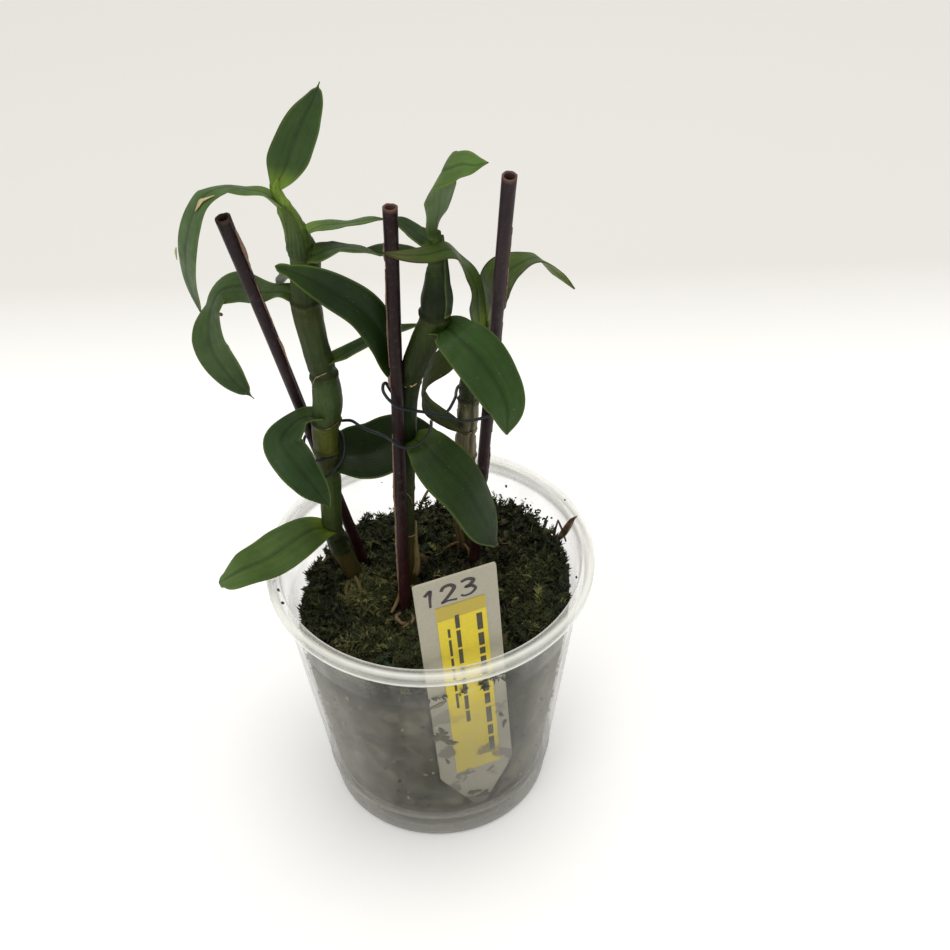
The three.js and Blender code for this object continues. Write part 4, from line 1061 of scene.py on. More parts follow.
def medium_height(x, y):
    waves = np.sin(0.31 * x + 0.4) * np.cos(0.27 * y - 0.6) + 0.6 * np.sin(0.53 * x - 0.61 * y)
    turn = (np.arctan2(y, x) / (2 * math.pi)) % 1
    outward = np.clip((np.hypot(x, y) / wall_radius(64) - 0.5) / 0.45, 0, 1)
    z = MEDIUM_TOP + 0.55 * waves + spread(EDGE_RISES, turn) * outward**1.5
    for mx, my, size, height in MOUNDS:
        z = z + height * np.exp(-((x - mx) ** 2 + (y - my) ** 2) / (size * size))
    return z


def lumpy(x, y):
    """Height of the filling with its crumbs."""
    p = np.stack([x, y, np.zeros_like(x)], -1)
    crumbs = (1.2 * noise3(p, 6, 2) + 1.3 * noise3(p, 3.3, 3) + 0.9 * noise3(p, 1.8, 4)
              + 0.4 * noise3(p, 0.9, 5))
    return medium_height(x, y) + crumbs * (1 - 0.4 * smooth(np.hypot(x, y), 30, 38))


def edge_radius(angle):
    inset = spread(EDGE_INSETS, (angle / (2 * math.pi)) % 1)
    return wall_radius(64) - GAP - SHRINK - inset


def label_turn():
    """Turn from the label's flat outline to the plant's frame."""
    return (Matrix.Rotation(math.radians(LABEL["yaw"]), 3, "Z")
            @ Matrix.Rotation(math.pi / 2 + math.radians(LABEL["lean"]), 3, "X")
            @ Matrix.Rotation(math.radians(LABEL["spin"]), 3, "Z"))


def label_side(x, y):
    """Distance behind the label's plane, positive towards the pot's middle."""
    yaw = math.radians(LABEL["yaw"])
    cx, cy, _ = LABEL["centre"]
    return -(x - cx) * math.sin(yaw) + (y - cy) * math.cos(yaw)


def to_label(points):
    """Across, along and outward coordinates of points about the label's middle plane."""
    return (np.asarray(points, float) - np.array(LABEL["centre"], float)) @ np.array(label_turn())


def give_way_to_label(vertices):
    """Moves the vertices that lie before the label's back face behind it."""
    across, along, outward = to_label(vertices).T
    towards_tip = (-LABEL_BELOW - along) / LABEL_POINT
    half = np.where(towards_tip < 0, LABEL_HALF, LABEL_HALF - (LABEL_HALF - LABEL_TIP) * towards_tip)
    covered = ((np.abs(across) < half + SLOT_MARGIN) & (outward > -SLOT_BACK)
               & (along > -LABEL_BELOW - LABEL_POINT - SLOT_MARGIN))
    vertices[covered] -= np.outer((outward + SLOT_BACK)[covered], np.array(label_turn())[:, 2])


def medium_paint(vertices):
    """Dark and mossy on top with painted shade in its hollows, stained and streaked where it lies against the
    wall.
    """
    mossy = smooth(rough(vertices, 9, 3, 31), -0.2, 0.7)[:, None]
    top = medium_height(vertices[:, 0], vertices[:, 1])
    paint = blend(srgb(13, 13, 9), srgb(20, 25, 16), mossy)
    # Painted shade: low spots between the crumbs are darkened as if in shadow.
    paint = paint * (0.35 + 0.9 * smooth(vertices[:, 2] - top, -0.9, 1.6))[:, None]
    paint = paint * (1 + 0.4 * rough(vertices, 2.8, 2, 33))[:, None]
    stained = smooth(rough(vertices, 12, 3, 35), -0.2, 0.5)[:, None]
    crumbly = smooth(rough(vertices, 6, 2, 36), 0.15, 0.5)[:, None]
    wall_side = blend(srgb(62, 60, 44), srgb(38, 40, 26), stained) * (1 - 0.7 * crumbly)
    wall_side = wall_side * (1 + 0.25 * rough(vertices, 7, 2, 37))[:, None]
    slanted = vertices @ np.array([[1, 0, 0.7], [0, 1, 0], [-0.7, 0, 1]])
    streaked = smooth(rough(slanted, 6, 2, 38), 0.2, 0.6)[:, None]
    wall_side = blend(wall_side, srgb(112, 106, 84), 0.5 * streaked)
    side = 1 - smooth(vertices[:, 2], top - 8.5, top - 1.5)[:, None]
    return blend(paint, wall_side, side)


def make_medium():
    columns, rings = 340, 110
    turn = directions(columns)
    rows = [circle(turn, share * (BASE_RADIUS - 2.3), FLOOR_THICKNESS + GAP) for share in (0.02, 1.0)]
    rows += [circle(turn, BASE_RADIUS - 1.6, z) for z in (5, 9)]
    for z in np.arange(11, 62.6, 1.0):
        lumps = 0.5 * np.abs(rough(circle(turn, 34, z), 5, 2, 11))
        inset = spread(EDGE_INSETS, turn / (2 * math.pi)) * smooth(z, 50, 63)
        rows.append(circle(turn, wall_radius(z) - GAP - SHRINK - inset - lumps, z))
    edge = circle(turn, 38, 0)
    ragged = np.minimum(1.5 * noise3(edge, 3.4, 21) + 1.1 * noise3(edge, 1.6, 22), 0.15)
    rounding = [1.6, 0.6] + [0] * (rings - 2)
    for share, drop in zip(np.linspace(1, 0.012, rings), rounding):
        r = share * edge_radius(turn) + ragged * smooth(share, 0.8, 1.0)
        x, y = r * np.cos(turn), r * np.sin(turn)
        rows.append(np.column_stack([x, y, lumpy(x, y) - drop]))
    vertices = np.vstack(rows)
    give_way_to_label(vertices)
    piece("growing_medium_body", vertices, closed_rings(len(rows), columns), MEDIUM,
          ["growing_medium"], paint=medium_paint(vertices))


make_medium()


# Where nothing small may grow: (x, y, radius) about the canes and stakes.
STEM_FEET = [(-22.3, 6, 3.4), (-6.9, 1.6, 3.4), (9.6, 18, 3.4), (-19.3, 13.5, 2.4),
             (-7.4, -5.2, 2.4), (11.7, 12, 2.4)]
MOSS_STRANDS, CRUMBS, GRAINS, WALL_BITS, TUFT_BITS, LITTER, FIBRES = 1000, 700, 26, 330, 8, 420, 120


def free_spot(rng, inner=0.0, outer=1.0):
    """Random place on the filling's top, clear of stems and label."""
    while True:
        angle = rng.uniform(0, 2 * math.pi)
        r = edge_radius(angle) * math.sqrt(rng.uniform(inner**2, outer**2))
        x, y = r * math.cos(angle), r * math.sin(angle)
        if clear_of_things(x, y):
            return x, y


def clear_of_things(x, y):
    """True where nothing stands on the filling and the label isn't before it."""
    near_label = label_side(x, y) < 1.8 and abs(x - LABEL["centre"][0]) < 14
    return not near_label and all((x - a) ** 2 + (y - b) ** 2 > c * c for a, b, c in STEM_FEET)


def kept_inside(x, y, margin):
    """The points, drawn in where they lie less than `margin` inside the filling's edge."""
    room = (edge_radius(np.arctan2(y, x)) - margin) / np.maximum(np.hypot(x, y), 1e-6)
    return x * np.minimum(1, room), y * np.minimum(1, room)


def lying_line(x, y, angle, length, bend, count, margin):
    """Bent line about a point of the filling's top, and its shares from -0.5 to 0.5."""
    t = np.linspace(-0.5, 0.5, count)
    px = x + length * (t * math.cos(angle) - bend * t**2 * math.sin(angle))
    py = y + length * (t * math.sin(angle) + bend * t**2 * math.cos(angle))
    return *kept_inside(px, py, margin), t


def leaflets(base, way, flank, length, width):
    """Vertices and faces of many small pointed leaflets, four corners each."""
    lift = unit(np.cross(way, flank))
    width, length = width[:, None], length[:, None]
    corners = np.stack([base - flank * width / 2, base + flank * width / 2,
                        base + lift * width * 0.4 + way * length * 0.3, base + way * length], 1)
    faces = [(k + a, k + b, k + c) for k in range(0, 4 * len(base), 4)
             for a, b, c in ((0, 1, 2), (0, 3, 1), (1, 3, 2), (2, 3, 0))]
    return corners.reshape(-1, 3), faces


def moss_strand(batch, rng, x, y, tone, size=1.0, upright=0.0):
    """Feathery strand of moss that creeps over the filling."""
    heading = rng.uniform(0, 2 * math.pi)
    length = rng.uniform(3.0, 6.5) * size
    t = np.linspace(0, 1, max(5, int(length / 0.5)))
    turn = heading + rng.normal(0, 1.0) * t
    step = length / len(t) * math.cos(upright)
    px, py = x + np.cumsum(np.cos(turn)) * step, y + np.cumsum(np.sin(turn)) * step
    px, py = kept_inside(px, py, 0.4)
    arch = rng.uniform(0.2, 1.3) * np.sin(t * 2.2)
    pz = lumpy(px, py) - 0.1 + arch + math.sin(upright) * length * t
    line = np.column_stack([px, py, pz])
    way = unit(np.gradient(line, axis=0))
    flank = unit(np.cross(way, [0, 0, 1.0]))
    sides = []
    for side in (-1, 1):
        aim = unit(way * 0.8 + flank * side * 0.9 + rng.normal(0, 0.3, line.shape) + (0, 0, 0.35))
        long = size * rng.uniform(1.1, 2.6, len(t)) * (1.1 - 0.7 * t)
        sides.append(leaflets(line, aim, unit(np.cross(aim, rng.normal(0, 1, line.shape))), long, long * 0.5))
    for vertices, faces in sides:
        shade = np.repeat(rng.uniform(0.55, 1.5, len(vertices) // 4), 4)[:, None]
        batch.add(vertices, faces, tone * shade)


MOSS_TONES = {"dark": (24, 29, 18), "olive": (62, 68, 38), "blue": (30, 46, 38), "light": (126, 126, 78)}
MOSS_SHARES = [0.6, 0.32, 0.05, 0.03]
MOSS_SHARES_OUTSIDE = [0.5, 0.24, 0.22, 0.04]
EDGE_MOSS = [  # strands, directions, insets, share of dark ones, tone of the others, sizes, upright
    (150, (-0.5, 1.5), (0.4, 3.5), 0.6, "blue", (0.6, 0.9), 0.9),  # shoots along the right and back
    (130, (1.9, 4.4), (0.3, 2.2), 0.7, "olive", (0.7, 1.1), 0.4),  # tufts over the left and front edge
]
MOSS_CLUMPS = [  # x, y, spread, strands, share of light ones
    (-17.5, -2.0, 4.6, 170, 0.55), (-14, 2, 3.5, 60, 0.4), (-17, -18, 5, 90, 0.25), (-8, -24, 6, 70, 0.2),
    (-3, -14, 5, 60, 0.2), (10, 22, 6, 60, 0.15), (27, -12, 5, 60, 0.15), (26, 4, 7, 70, 0.15),
]


def make_moss():
    rng = np.random.default_rng(11)
    tones = {name: srgb(*tone) for name, tone in MOSS_TONES.items()}
    carpet = Batch()
    for _ in range(MOSS_STRANDS):
        x, y = free_spot(rng, 0, 0.99)
        shares = MOSS_SHARES_OUTSIDE if math.hypot(x, y) > 30 else MOSS_SHARES
        kind = rng.choice(list(MOSS_TONES), p=shares)
        dim = 0.18 + 1.0 * float(smooth(noise3(np.array([[x, y, 0.0]]), 4.5, 41)[0], -0.25, 0.5))
        if x > 14:
            dim = dim * 0.75
        tone = tones[kind] * (dim * rng.uniform(0.4, 1.5))
        size = rng.uniform(0.8, 1.25)
        moss_strand(carpet, rng, x, y, tone, size, rng.choice([0, 0.5], p=[0.7, 0.3]))
    for count, turns, insets, dark, other, sizes, upright in EDGE_MOSS:
        for _ in range(count):
            angle = rng.uniform(*turns)
            r = edge_radius(angle) - rng.uniform(*insets)
            tone = tones["dark"] if rng.random() < dark else tones[other]
            x, y = r * math.cos(angle), r * math.sin(angle)
            moss_strand(carpet, rng, x, y, tone, rng.uniform(*sizes), upright)
    carpet.make("moss_carpet", MOSS, flat=True)
    clumps = Batch()
    for cx, cy, size, number, light in MOSS_CLUMPS:
        for _ in range(number):
            x, y = cx + rng.normal(0, size / 2), cy + rng.normal(0, size / 2)
            if math.hypot(x, y) > edge_radius(math.atan2(y, x)) - 1 or not clear_of_things(x, y):
                continue
            tone = tones["light"] if rng.random() < light else tones["olive"]
            moss_strand(clumps, rng, x, y, tone * rng.uniform(0.2, 1.0), rng.uniform(0.8, 1.2), 0.3)
    clumps.make("moss_clumps", MOSS, flat=True)


def make_crumbs():
    """Soil crumbs, white grains and tufts on the filling, specks and bits at the pot's inner wall."""
    rng = np.random.default_rng(12)
    ball = bmesh.new()
    bmesh.ops.create_icosphere(ball, subdivisions=1, radius=1)
    unit_ball = np.array([v.co[:] for v in ball.verts])
    sides = [tuple(v.index for v in f.verts) for f in ball.faces]
    ball.free()
    crumbs = Batch()

    def crumb(place, size, tone):
        shape = unit_ball * size * rng.uniform(0.6, 1.3, 3)
        shape = shape * rng.uniform(0.75, 1.2, (len(unit_ball), 1))
        turn = Matrix.Rotation(rng.uniform(0, 6.3), 3, Vector(rng.normal(0, 1, 3)))
        crumbs.add(shape @ np.array(turn).T + place, sides, tone)

    def at(turn, r, z):
        return np.array([r * math.cos(turn), r * math.sin(turn), z])

    earth = [srgb(20, 18, 13), srgb(32, 28, 19), srgb(16, 18, 13), srgb(58, 50, 34)]
    for _ in range(CRUMBS):
        x, y = free_spot(rng, 0, 0.985)
        z = float(lumpy(np.array(x), np.array(y)))
        crumb((x, y, z), rng.uniform(0.25, 0.95), earth[rng.choice(4, p=[0.4, 0.25, 0.25, 0.1])])
    for _ in range(GRAINS):
        x, y = free_spot(rng, 0.3, 0.95)
        z = float(lumpy(np.array(x), np.array(y))) + 0.3
        crumb((x, y, z), rng.uniform(0.25, 0.5), srgb(196, 192, 174))
    for degrees, z in WALL_SPECKS:
        place = at(math.radians(degrees), wall_radius(z) - 0.25, z)
        crumb(place, rng.uniform(0.2, 0.55), earth[0])
    for degrees, r, z in RIM_SPECKS:
        crumb(at(math.radians(degrees), r, z), rng.uniform(0.35, 0.55), srgb(60, 34, 28))
    for _ in range(WALL_BITS):
        turn, z = rng.uniform(0, 2 * math.pi), rng.uniform(13, 60)
        size = rng.choice([0.28, 0.42, 0.62], p=[0.5, 0.35, 0.15])
        place = at(turn, wall_radius(z) - size * 1.1, z)
        if abs(to_label(place[None])[0][0]) > LABEL_HALF + 1.2 or place[1] > 0:
            crumb(place, size, srgb(8, 8, 6) if rng.random() < 0.7 else srgb(150, 140, 108))
    for tuft in TUFTS:
        for _ in range(TUFT_BITS):
            crumb(np.array(tuft) + rng.normal(0, 0.5, 3), rng.uniform(0.25, 0.5), earth[2])
    crumbs.make("soil_crumbs", MEDIUM, flat=True)


def make_litter():
    """Curled lobes and dead scraps among the moss."""
    rng = np.random.default_rng(15)
    litter = Batch()
    tones = [srgb(24, 28, 17), srgb(50, 54, 30), srgb(92, 90, 56), srgb(68, 54, 36), srgb(14, 16, 11)]
    for _ in range(LITTER):
        x, y = free_spot(rng, 0, 0.97)
        angle, length = rng.uniform(0, 2 * math.pi), rng.uniform(1.6, 4.0)
        px, py, t = lying_line(x, y, angle, length, rng.normal(0, 0.8), 8, 0.8)
        arch = rng.uniform(0.2, 1.4) * (1 - (2 * t) ** 2)
        pz = lumpy(px, py) + 0.5 + arch + rng.uniform(-1, 1.2) * t
        line = np.column_stack([px, py, pz])
        if np.any(label_side(px, py) < 1.8) and abs(x - LABEL["centre"][0]) < 16:
            continue
        flank = unit(np.cross(np.gradient(line, axis=0), [0, 0, 1.0]))
        flank = unit(flank + np.array([0, 0, rng.uniform(-0.9, 0.9)]))
        wide = rng.uniform(0.9, 2.4) * np.sin(np.linspace(0.4, 2.9, len(t))) ** 0.8
        tone = tones[rng.choice(5, p=[0.3, 0.25, 0.12, 0.13, 0.2])]
        litter.add(*ribbon(line, flank, wide, 0.14), tone)
    litter.make("litter", MOSS)


def make_fibres():
    """Dry fibres and rootlets lying on the filling."""
    rng = np.random.default_rng(13)
    fibres = Batch()
    tones = [srgb(66, 60, 40), srgb(42, 40, 27), srgb(110, 104, 74), srgb(44, 52, 32)]
    for _ in range(FIBRES):
        x, y = free_spot(rng, 0, 0.96)
        length = rng.uniform(2.5, 7)
        angle = rng.uniform(0, 6.3)
        px, py, t = lying_line(x, y, angle, length, rng.normal(0, 1.2), 7, 0.6)
        pz = lumpy(px, py) + 0.3 + rng.uniform(0, 0.8) * (1 - (2 * t) ** 2)
        if np.all(label_side(px, py) > 1.4) or abs(x - LABEL["centre"][0]) > 16:
            tone = tones[rng.choice(4, p=[0.3, 0.35, 0.1, 0.25])]
            fibres.add(*tube(np.column_stack([px, py, pz]), rng.uniform(0.08, 0.16), 5), tone)
    for path, radius, tone in TWIGS:
        line = catmull(path, 8)
        width = radius * (0.75 + 0.25 * np.sin(np.linspace(0, 3.1, len(line))))
        fibres.add(*tube(line, width, 8), srgb(*tone))
    fibres.make("dry_fibres", ROOT)


WALL_SPECKS = [  # direction in degrees, height
    (52, 74), (47, 75.4), (44, 74.2), (57, 76.5), (38, 74.6), (31, 75.6), (104, 71), (111, 76), (-4, 75)]
TUFTS = [(23.8, 26, 75.6), (26.8, 24.6, 75.4), (29.7, 22.6, 75.8), (31.9, 19.6, 75.4), (19.5, 28.5, 74.6)]
RIM_SPECKS = [  # direction in degrees, radius, height
    (196, 41.6, 82.3), (203, 41.9, 82.4), (28, 42.4, 82.7), (250, 43.5, 78.6)]
TWIGS = [  # roots at the stems' feet, sticks and rootlets: points, radius, tone
    ([(-21, 3.5, 71.6), (-19.8, 1, 70.6), (-19.2, -1.5, 69)], 0.6, (92, 82, 50)),
    ([(-22.5, 3, 70.6), (-23.5, 0.6, 69.8), (-23, -2, 68)], 0.55, (84, 74, 46)),
    ([(-19.5, 4, 71.6), (-17, 3, 70.8), (-15.4, 2, 69)], 0.5, (92, 80, 52)),
    ([(-8.5, -1, 70), (-9.5, -5, 69.8), (-11, -8, 68.8)], 0.55, (122, 98, 66)),
    ([(-5.5, -1, 72), (-3.5, -4, 71), (-2.8, -7, 69.4)], 0.6, (150, 122, 88)),
    ([(-5, 0.5, 71), (-2.5, -1.5, 70.5), (-0.5, -3.4, 69.6)], 0.5, (128, 84, 50)),
    ([(7.8, 15.6, 72), (6, 15.2, 71.6), (4.4, 15.6, 70), (3.2, 16, 68.4)], 0.4, (96, 72, 46)),
    ([(9, 14.8, 72), (10.2, 13.6, 70.8), (10.6, 12.2, 68.6)], 0.4, (100, 76, 50)),
    ([(-8.6, -8.6, 69.2), (-9.6, -11, 70.2), (-8, -12.6, 69.4), (-7, -11.6, 68.6)], 0.5, (128, 104, 84)),
    ([(-5.6, -8.6, 69), (-5, -11.5, 69.8), (-6.4, -14, 68.6)], 0.45, (112, 96, 74)),
    ([(33.6, 13.5, 72), (34.3, 13, 77.5), (35.1, 12.5, 82)], 0.32, (44, 40, 28)),
    ([(35.1, 12.5, 82), (36.3, 11.3, 79), (37.2, 10.2, 76)], 0.3, (44, 40, 28)),
    ([(31, 14.5, 72), (32.4, 14, 76), (34.4, 13, 77.6)], 0.28, (40, 38, 26)),
    ([(23.4, 26.6, 71), (23.8, 26, 75.6)], 0.2, (34, 34, 24)),
    ([(26.4, 25.2, 71), (26.8, 24.6, 75.4)], 0.2, (34, 34, 24)),
    ([(29.4, 23, 71), (29.7, 22.6, 75.8)], 0.2, (34, 34, 24)),
    ([(31.6, 20, 71), (31.9, 19.6, 75.4)], 0.2, (34, 34, 24)),
    ([(24.8, 3.2, 70.6), (27.3, 1.2, 71.4), (29.2, -1.6, 70.4)], 0.22, (96, 100, 56)),
    ([(-3.9, 34.2, 66.6), (-2.7, 36, 69.2), (-2.1, 37, 69.9), (-0.8, 38.4, 71.6)], 0.42, (84, 66, 44)),
    ([(-9, -13, 67.5), (-6.5, -12.5, 69), (-4.5, -11, 69.5)], 0.35, (128, 106, 66)),
]

make_moss()
make_crumbs()
make_litter()
make_fibres()


# ---------------------------------------------------------------- label
def on_label(points, front):
    """Points of the label's plane, `front` mm before its middle plane, in the plant's frame."""
    p = np.column_stack([np.asarray(points, float), np.broadcast_to(front, len(points))])
    return p @ np.array(label_turn()).T + np.array(LABEL["centre"], float)


def rounded(corners, radius, steps=5):
    """Closed outline with its corners rounded."""
    corners = np.array(corners, float)
    out = []
    for i, corner in enumerate(corners):
        before, after = unit(corners[i - 1] - corner), unit(corners[(i + 1) % len(corners)] - corner)
        a, b = corner + before * radius, corner + after * radius
        for t in np.linspace(0, 1, steps):
            out.append((1 - t) ** 2 * a + 2 * t * (1 - t) * corner + t**2 * b)
    return np.array(out)


def area(outline):
    x, y = outline[:, 0], outline[:, 1]
    return 0.5 * np.sum(x * np.roll(y, -1) - np.roll(x, -1) * y)


def plate(name, corners, radius, back, front, edge, material, slot, nodes=()):
    """Flat sheet on the label's plane with slightly broken edges."""
    outline = rounded(corners, radius)
    centre = outline.mean(0)
    reach = np.linalg.norm(outline - centre, axis=1)[:, None]
    small = centre + (outline - centre) * (1 - edge / reach)
    vertices = np.vstack([on_label(small, back), on_label(outline, back + edge),
                          on_label(outline, front - edge), on_label(small, front)])
    faces = closed_rings(4, len(outline))
    if area(outline) < 0:
        faces = [face[::-1] for face in faces]
    return piece(name, vertices, faces, material, nodes, flat=True)


# Layers before the label's middle plane, each from its back to its front.
SHEET, STICKER_SHEET, STICKER_TAB = (-0.4, 0.4), (0.42, 0.56), (0.57, 0.64)
SMEAR, INK_LINE, BAR, BAR_ON_TAB = (0.42, 0.68), (0.38, 0.46), (0.5, 0.58), (0.5, 0.66)

foot = -LABEL_BELOW - LABEL_POINT
plate("label_sheet", [(-LABEL_HALF, LABEL_ABOVE), (-LABEL_HALF, -LABEL_BELOW), (-LABEL_TIP, foot),
                      (LABEL_TIP, foot), (LABEL_HALF, -LABEL_BELOW), (LABEL_HALF, LABEL_ABOVE)],
      0.7, *SHEET, 0.08, LABEL_SHEET, "label", ["label"])
left, right, top = STICKER["left"], STICKER["right"], STICKER["top"]
plate("sticker_sheet", [(left, top), (left, STICKER["bottom"]), (right, STICKER["bottom"]),
                        (right, top)],
      0.3, *STICKER_SHEET, 0.03, STICKER_PAPER, "sticker", ["label_sticker"])
plate("sticker_overlap", [(left + 0.1, top - 0.1), (left + 0.1, STICKER["overlap"]),
                          (right - 0.1, STICKER["overlap"] + 0.5), (right - 0.1, top - 0.1)],
      0.2, *STICKER_TAB, 0.02, OVERLAP, "sticker")

SMEARS = [  # soil stuck to the label: across, along, half width, half height, turn, tone
    (-8.9, -34.5, 2.6, 1.7, -28, (64, 62, 46)), (-6.3, -38.6, 2.2, 0.8, -40, (70, 66, 48)),
    (-8.4, -31.2, 1.2, 0.5, -60, (58, 56, 42)), (-7.9, -47.5, 0.35, 1.3, 15, (60, 56, 42)),
    (8.4, -33, 0.5, 1.0, 20, (70, 66, 50)), (9, -37.5, 0.45, 1.5, -12, (66, 62, 46)),
    (1.2, -70.4, 1.5, 1.4, 10, (60, 58, 44)), (-1.4, -67.8, 1.8, 0.8, -20, (64, 60, 46)),
    (-8.4, -19.4, 2.0, 0.7, 16, (108, 104, 80)),
]


def make_smears():
    rng = np.random.default_rng(14)
    smears = Batch()
    turn = directions(28)
    for across, along, wide, high, degrees, tone in SMEARS:
        r = np.clip(1 + rng.normal(0, 0.22, len(turn)) + 0.25 * np.sin(3 * turn + along), 0.35, 1.5)
        x, y = wide * r * np.cos(turn), high * r * np.sin(turn)
        c, s = math.cos(math.radians(degrees)), math.sin(math.radians(degrees))
        outline = np.column_stack([across + x * c - y * s, along + x * s + y * c])
        vertices = np.vstack([on_label(outline, layer) for layer in SMEAR])
        smears.add(vertices, closed_rings(2, len(turn)), srgb(*tone))
    smears.make("soil_on_label", DRY_SOIL, flat=True)


make_smears()

DIGITS = {  # strokes in a 4 x 6 mm cell, written by hand
    "1": [[(0.9, 4.6), (2.0, 5.8), (2.2, 5.9), (2.0, 3.2), (1.9, 0.2)]],
    "2": [[(0.3, 4.4), (0.9, 5.6), (2.3, 5.9), (3.2, 4.8), (2.4, 3.0), (0.9, 1.0), (0.3, 0.3), (1.6, 0.5),
           (3.6, 0.2)]],
    "3": [[(0.5, 5.4), (2.0, 5.8), (3.2, 5.0), (2.4, 3.6), (1.5, 3.2), (2.8, 3.0), (3.5, 1.8), (2.4, 0.4),
           (0.8, 0.3), (0.3, 0.9)]],
}
ink = Batch()
for place, digit in enumerate("123"):
    for stroke in DIGITS[digit]:
        line = catmull([(x * 1.15, y * 1.1, 0) for x, y in stroke], 8)[:, :2]
        line = line + (-9.0 + place * 4.9, 22.4 + 0.35 * place)
        way = unit(np.gradient(line, axis=0))
        normal = np.column_stack([-way[:, 1], way[:, 0]])
        thick = 0.44 + 0.12 * np.sin(np.linspace(0, 5, len(line)))
        under, over = INK_LINE
        sides = [on_label(line + normal * thick[:, None] * k, layer) for k, layer in
                 ((1, over), (-1, over), (-1, under), (1, under))]
        vertices = np.stack(sides, 1).reshape(-1, 3)
        ink.add(vertices, closed_rings(len(line), 4), srgb(44, 26, 34))
ink.make("handwritten_digits", INK, flat=True)

# Printed lines on the sticker: plain bars, no letters.
bars = Batch()
rng = np.random.default_rng(5)
for x, size, start, stop in ((4.3, 1.5, 15, -42), (-1.2, 1.1, 17, -30), (-3.4, 0.7, 12, -20)):
    y = start
    while y > stop:
        run = rng.uniform(2.5, 8)
        corners = np.array([(x, y), (x, y - run), (x + size, y - run), (x + size, y)], float)
        layers = BAR_ON_TAB if y > STICKER["overlap"] else BAR
        vertices = np.vstack([on_label(corners, layer) for layer in layers])
        bars.add(vertices, closed_rings(2, 4), srgb(58, 54, 34))
        y -= run + rng.uniform(0.8, 1.6)
bars.make("printed_lines", PRINT, flat=True)


# ---------------------------------------------------------------- dry scraps on canes and leaves
def on_leaf(name, s_at, x_at, lift):
    """Point of a blade's middle sheet at a share of its length and of its half width."""
    leaf = LEAVES[name]
    s, centres, across, out = leaf_frame(leaf)
    half = leaf["width"] * width_share(s, leaf) / 2
    surface = centres + across * (half * x_at)[:, None] + out * lift
    return np.array([np.interp(s_at, s, surface[:, k]) for k in range(3)])


SCRAPS = [  # cane, points (height, direction), width, tone
    ("cane_left", [(138.4, -150), (140.6, -132), (142.6, -114), (143.6, -88), (144.0, -63)], 0.5,
     (132, 122, 84)),
    ("cane_left", [(177.2, -130), (178.6, -112), (180.2, -88), (181.0, -69)], 0.6, (150, 144, 104)),
    ("cane_left", [(126.6, -170), (126.0, -130), (126.2, -90), (127.0, -50), (127.6, -20)], 0.35,
     (92, 70, 44)),
    ("cane_middle", [(141.4, -120), (141.9, -100), (141.8, -80), (142.6, -60)], 0.6, (176, 158, 112)),
    ("cane_middle", [(106.5, -80), (105.2, -64), (103.6, -50), (101.6, -44)], 0.5, (150, 130, 92)),
    ("cane_middle", [(91.2, -100), (90.4, -60), (90.0, -30), (89.0, 0)], 0.5, (150, 128, 92)),
    ("cane_right", [(112.6, -140), (112.0, -100), (112.6, -60), (113.2, -20)], 0.5, (150, 140, 116)),
    ("cane_right", [(123.0, -130), (122.4, -90), (123.2, -40)], 0.4, (140, 128, 104)),
]
FLAKES = [  # leaf, path as (share of length, share of half width), width, tone
    ("leaf_left_2", [(0.36, 0.85), (0.385, 0.5), (0.40, 0.3), (0.425, 0.3), (0.45, 0.25)], 1.9,
     (206, 186, 138)),
    ("leaf_left_2", [(0.69, -0.88), (0.72, -0.95), (0.75, -0.9)], 0.9, (176, 166, 116)),
    ("leaf_middle_6", [(0.985, 0.3), (0.995, 0.15), (0.99, -0.1)], 0.6, (70, 50, 34)),
]

scraps = Batch()
for cane, path, width, tone in SCRAPS:
    heights, turns = np.array(path, float).T
    t = np.linspace(0, 1, 24)
    line = np.array([on_cane(cane, z, turn, 0.28) for z, turn in zip(spread(heights, t), spread(turns, t))])
    up = np.repeat([[0.15, 0.0, 1.0]], len(line), 0)
    tapered = np.sin(np.linspace(0.2, math.pi - 0.2, len(t))) ** 0.5
    wide = width * (0.55 + 0.45 * np.sin(t * 9) ** 2) * tapered
    scraps.add(*ribbon(line, up, wide, 0.14), srgb(*tone))
knob = catmull([on_leaf("leaf_left_6", 0.505, x_at, 0) for x_at in (0.85, 1.0, 1.15, 1.3)], 6)
scraps.add(*tube(knob, 0.12 + 0.32 * smooth(np.linspace(0, 1, len(knob)), 0.4, 0.7), 8), srgb(44, 30, 28))
for leaf_name, path, width, tone in FLAKES:
    line = catmull([on_leaf(leaf_name, s_at, x_at, LEAF_THICKNESS) for s_at, x_at in path], 8)
    side = on_leaf(leaf_name, path[0][0], 1, 0) - on_leaf(leaf_name, path[0][0], -1, 0)
    wide = width * np.sin(np.linspace(0.15, math.pi - 0.1, len(line))) ** 1.5
    scraps.add(*ribbon(line, np.repeat(side[None], len(line), 0), wide + 0.12, 0.16), srgb(*tone))
scraps.make("dry_sheath_edges", DRY)

# ---------------------------------------------------------------- camera, light, floor
CAMERA_AT = (12.7, -321.0, 396.1)
CAMERA_PITCH, CAMERA_ROLL = 41.65, 1.72
LENS, SENSOR = 63.25, 36.0

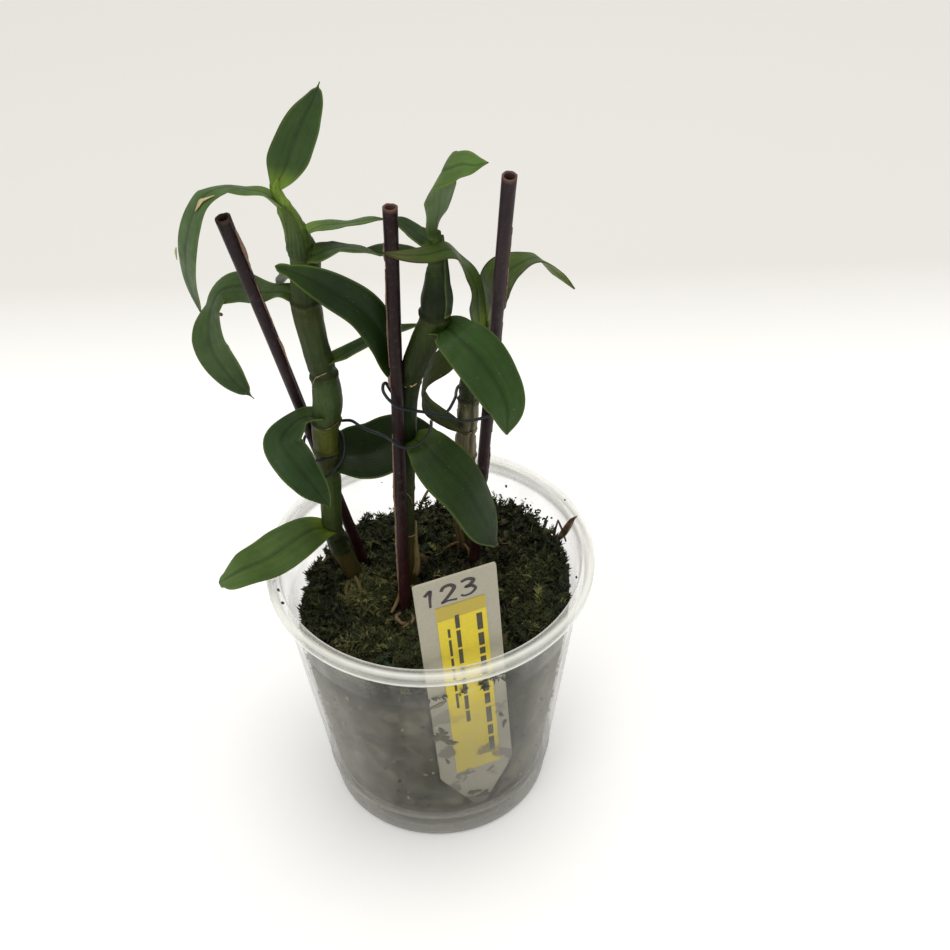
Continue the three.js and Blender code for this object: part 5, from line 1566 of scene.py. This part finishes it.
pitch, roll = math.radians(CAMERA_PITCH), math.radians(CAMERA_ROLL)
forward = Vector((0, math.cos(pitch), -math.sin(pitch)))
level = Vector((1, 0, 0))
down = forward.cross(level)
image_right = level * math.cos(roll) + down * math.sin(roll)
image_up = image_right.cross(forward)
camera_data = bpy.data.cameras.new("camera")
camera_data.lens, camera_data.sensor_width = LENS, SENSOR
camera = bpy.data.objects.new("camera", camera_data)
bpy.context.scene.collection.objects.link(camera)
turn = Matrix((image_right, image_up, -forward)).transposed().to_4x4()
camera.matrix_world = Matrix.Translation(Vector(CAMERA_AT) * MM) @ turn
bpy.context.scene.camera = camera

FLOOR_HALF, FLOOR_DROP = 4.0, 0.0002  # metres
floor_mesh = bpy.data.meshes.new("floor")
floor_mesh.from_pydata([(-FLOOR_HALF, -FLOOR_HALF, 0), (FLOOR_HALF, -FLOOR_HALF, 0),
                        (FLOOR_HALF, FLOOR_HALF, 0), (-FLOOR_HALF, FLOOR_HALF, 0)], [], [(0, 1, 2, 3)])
floor = bpy.data.objects.new("floor", floor_mesh)
bpy.context.scene.collection.objects.link(floor)
floor.location.z = -FLOOR_DROP
paper = Shader("pale_floor", 0.6, Specular_IOR_Level=0.2)
# Painted shade: the floor is painted darker towards the back in place of light falloff, and its emission is a
# painted glow.
away = paper.put("ShaderNodeSeparateXYZ", {0: paper.where()}).outputs["Y"]
tone = paper.mix(paper.band(away, 0.17, 0.25), (0.96, 0.96, 0.96), (0.72, 0.71, 0.69))
paper.to("Base Color", tone)
paper.to("Emission Color", tone)
paper.bsdf.inputs["Emission Strength"].default_value = 0.2
floor_mesh.materials.append(paper.material)


def area_light(name, place, target, size, power, colour):
    data = bpy.data.lights.new(name, "AREA")
    data.shape, data.size, data.energy, data.color = "DISK", size, power, colour
    lamp = bpy.data.objects.new(name, data)
    bpy.context.scene.collection.objects.link(lamp)
    lamp.location = place
    lamp.rotation_mode = "QUATERNION"
    lamp.rotation_quaternion = (Vector(target) - Vector(place)).to_track_quat("-Z", "Y")


area_light("overhead", (0.1, 0.1, 1.8), (0, 0, 0.1), 1.6, 19, (1.0, 0.98, 0.93))
area_light("front_fill", (-0.6, -0.9, 1.0), (0, 0, 0.1), 0.9, 3.2, (1.0, 0.98, 0.94))
world = bpy.data.worlds.new("studio")
world.use_nodes = True
world.node_tree.nodes["Background"].inputs["Color"].default_value = (1.0, 0.99, 0.96, 1)
world.node_tree.nodes["Background"].inputs["Strength"].default_value = 0.42
bpy.context.scene.world = world
bpy.context.scene.view_settings.view_transform = "Standard"
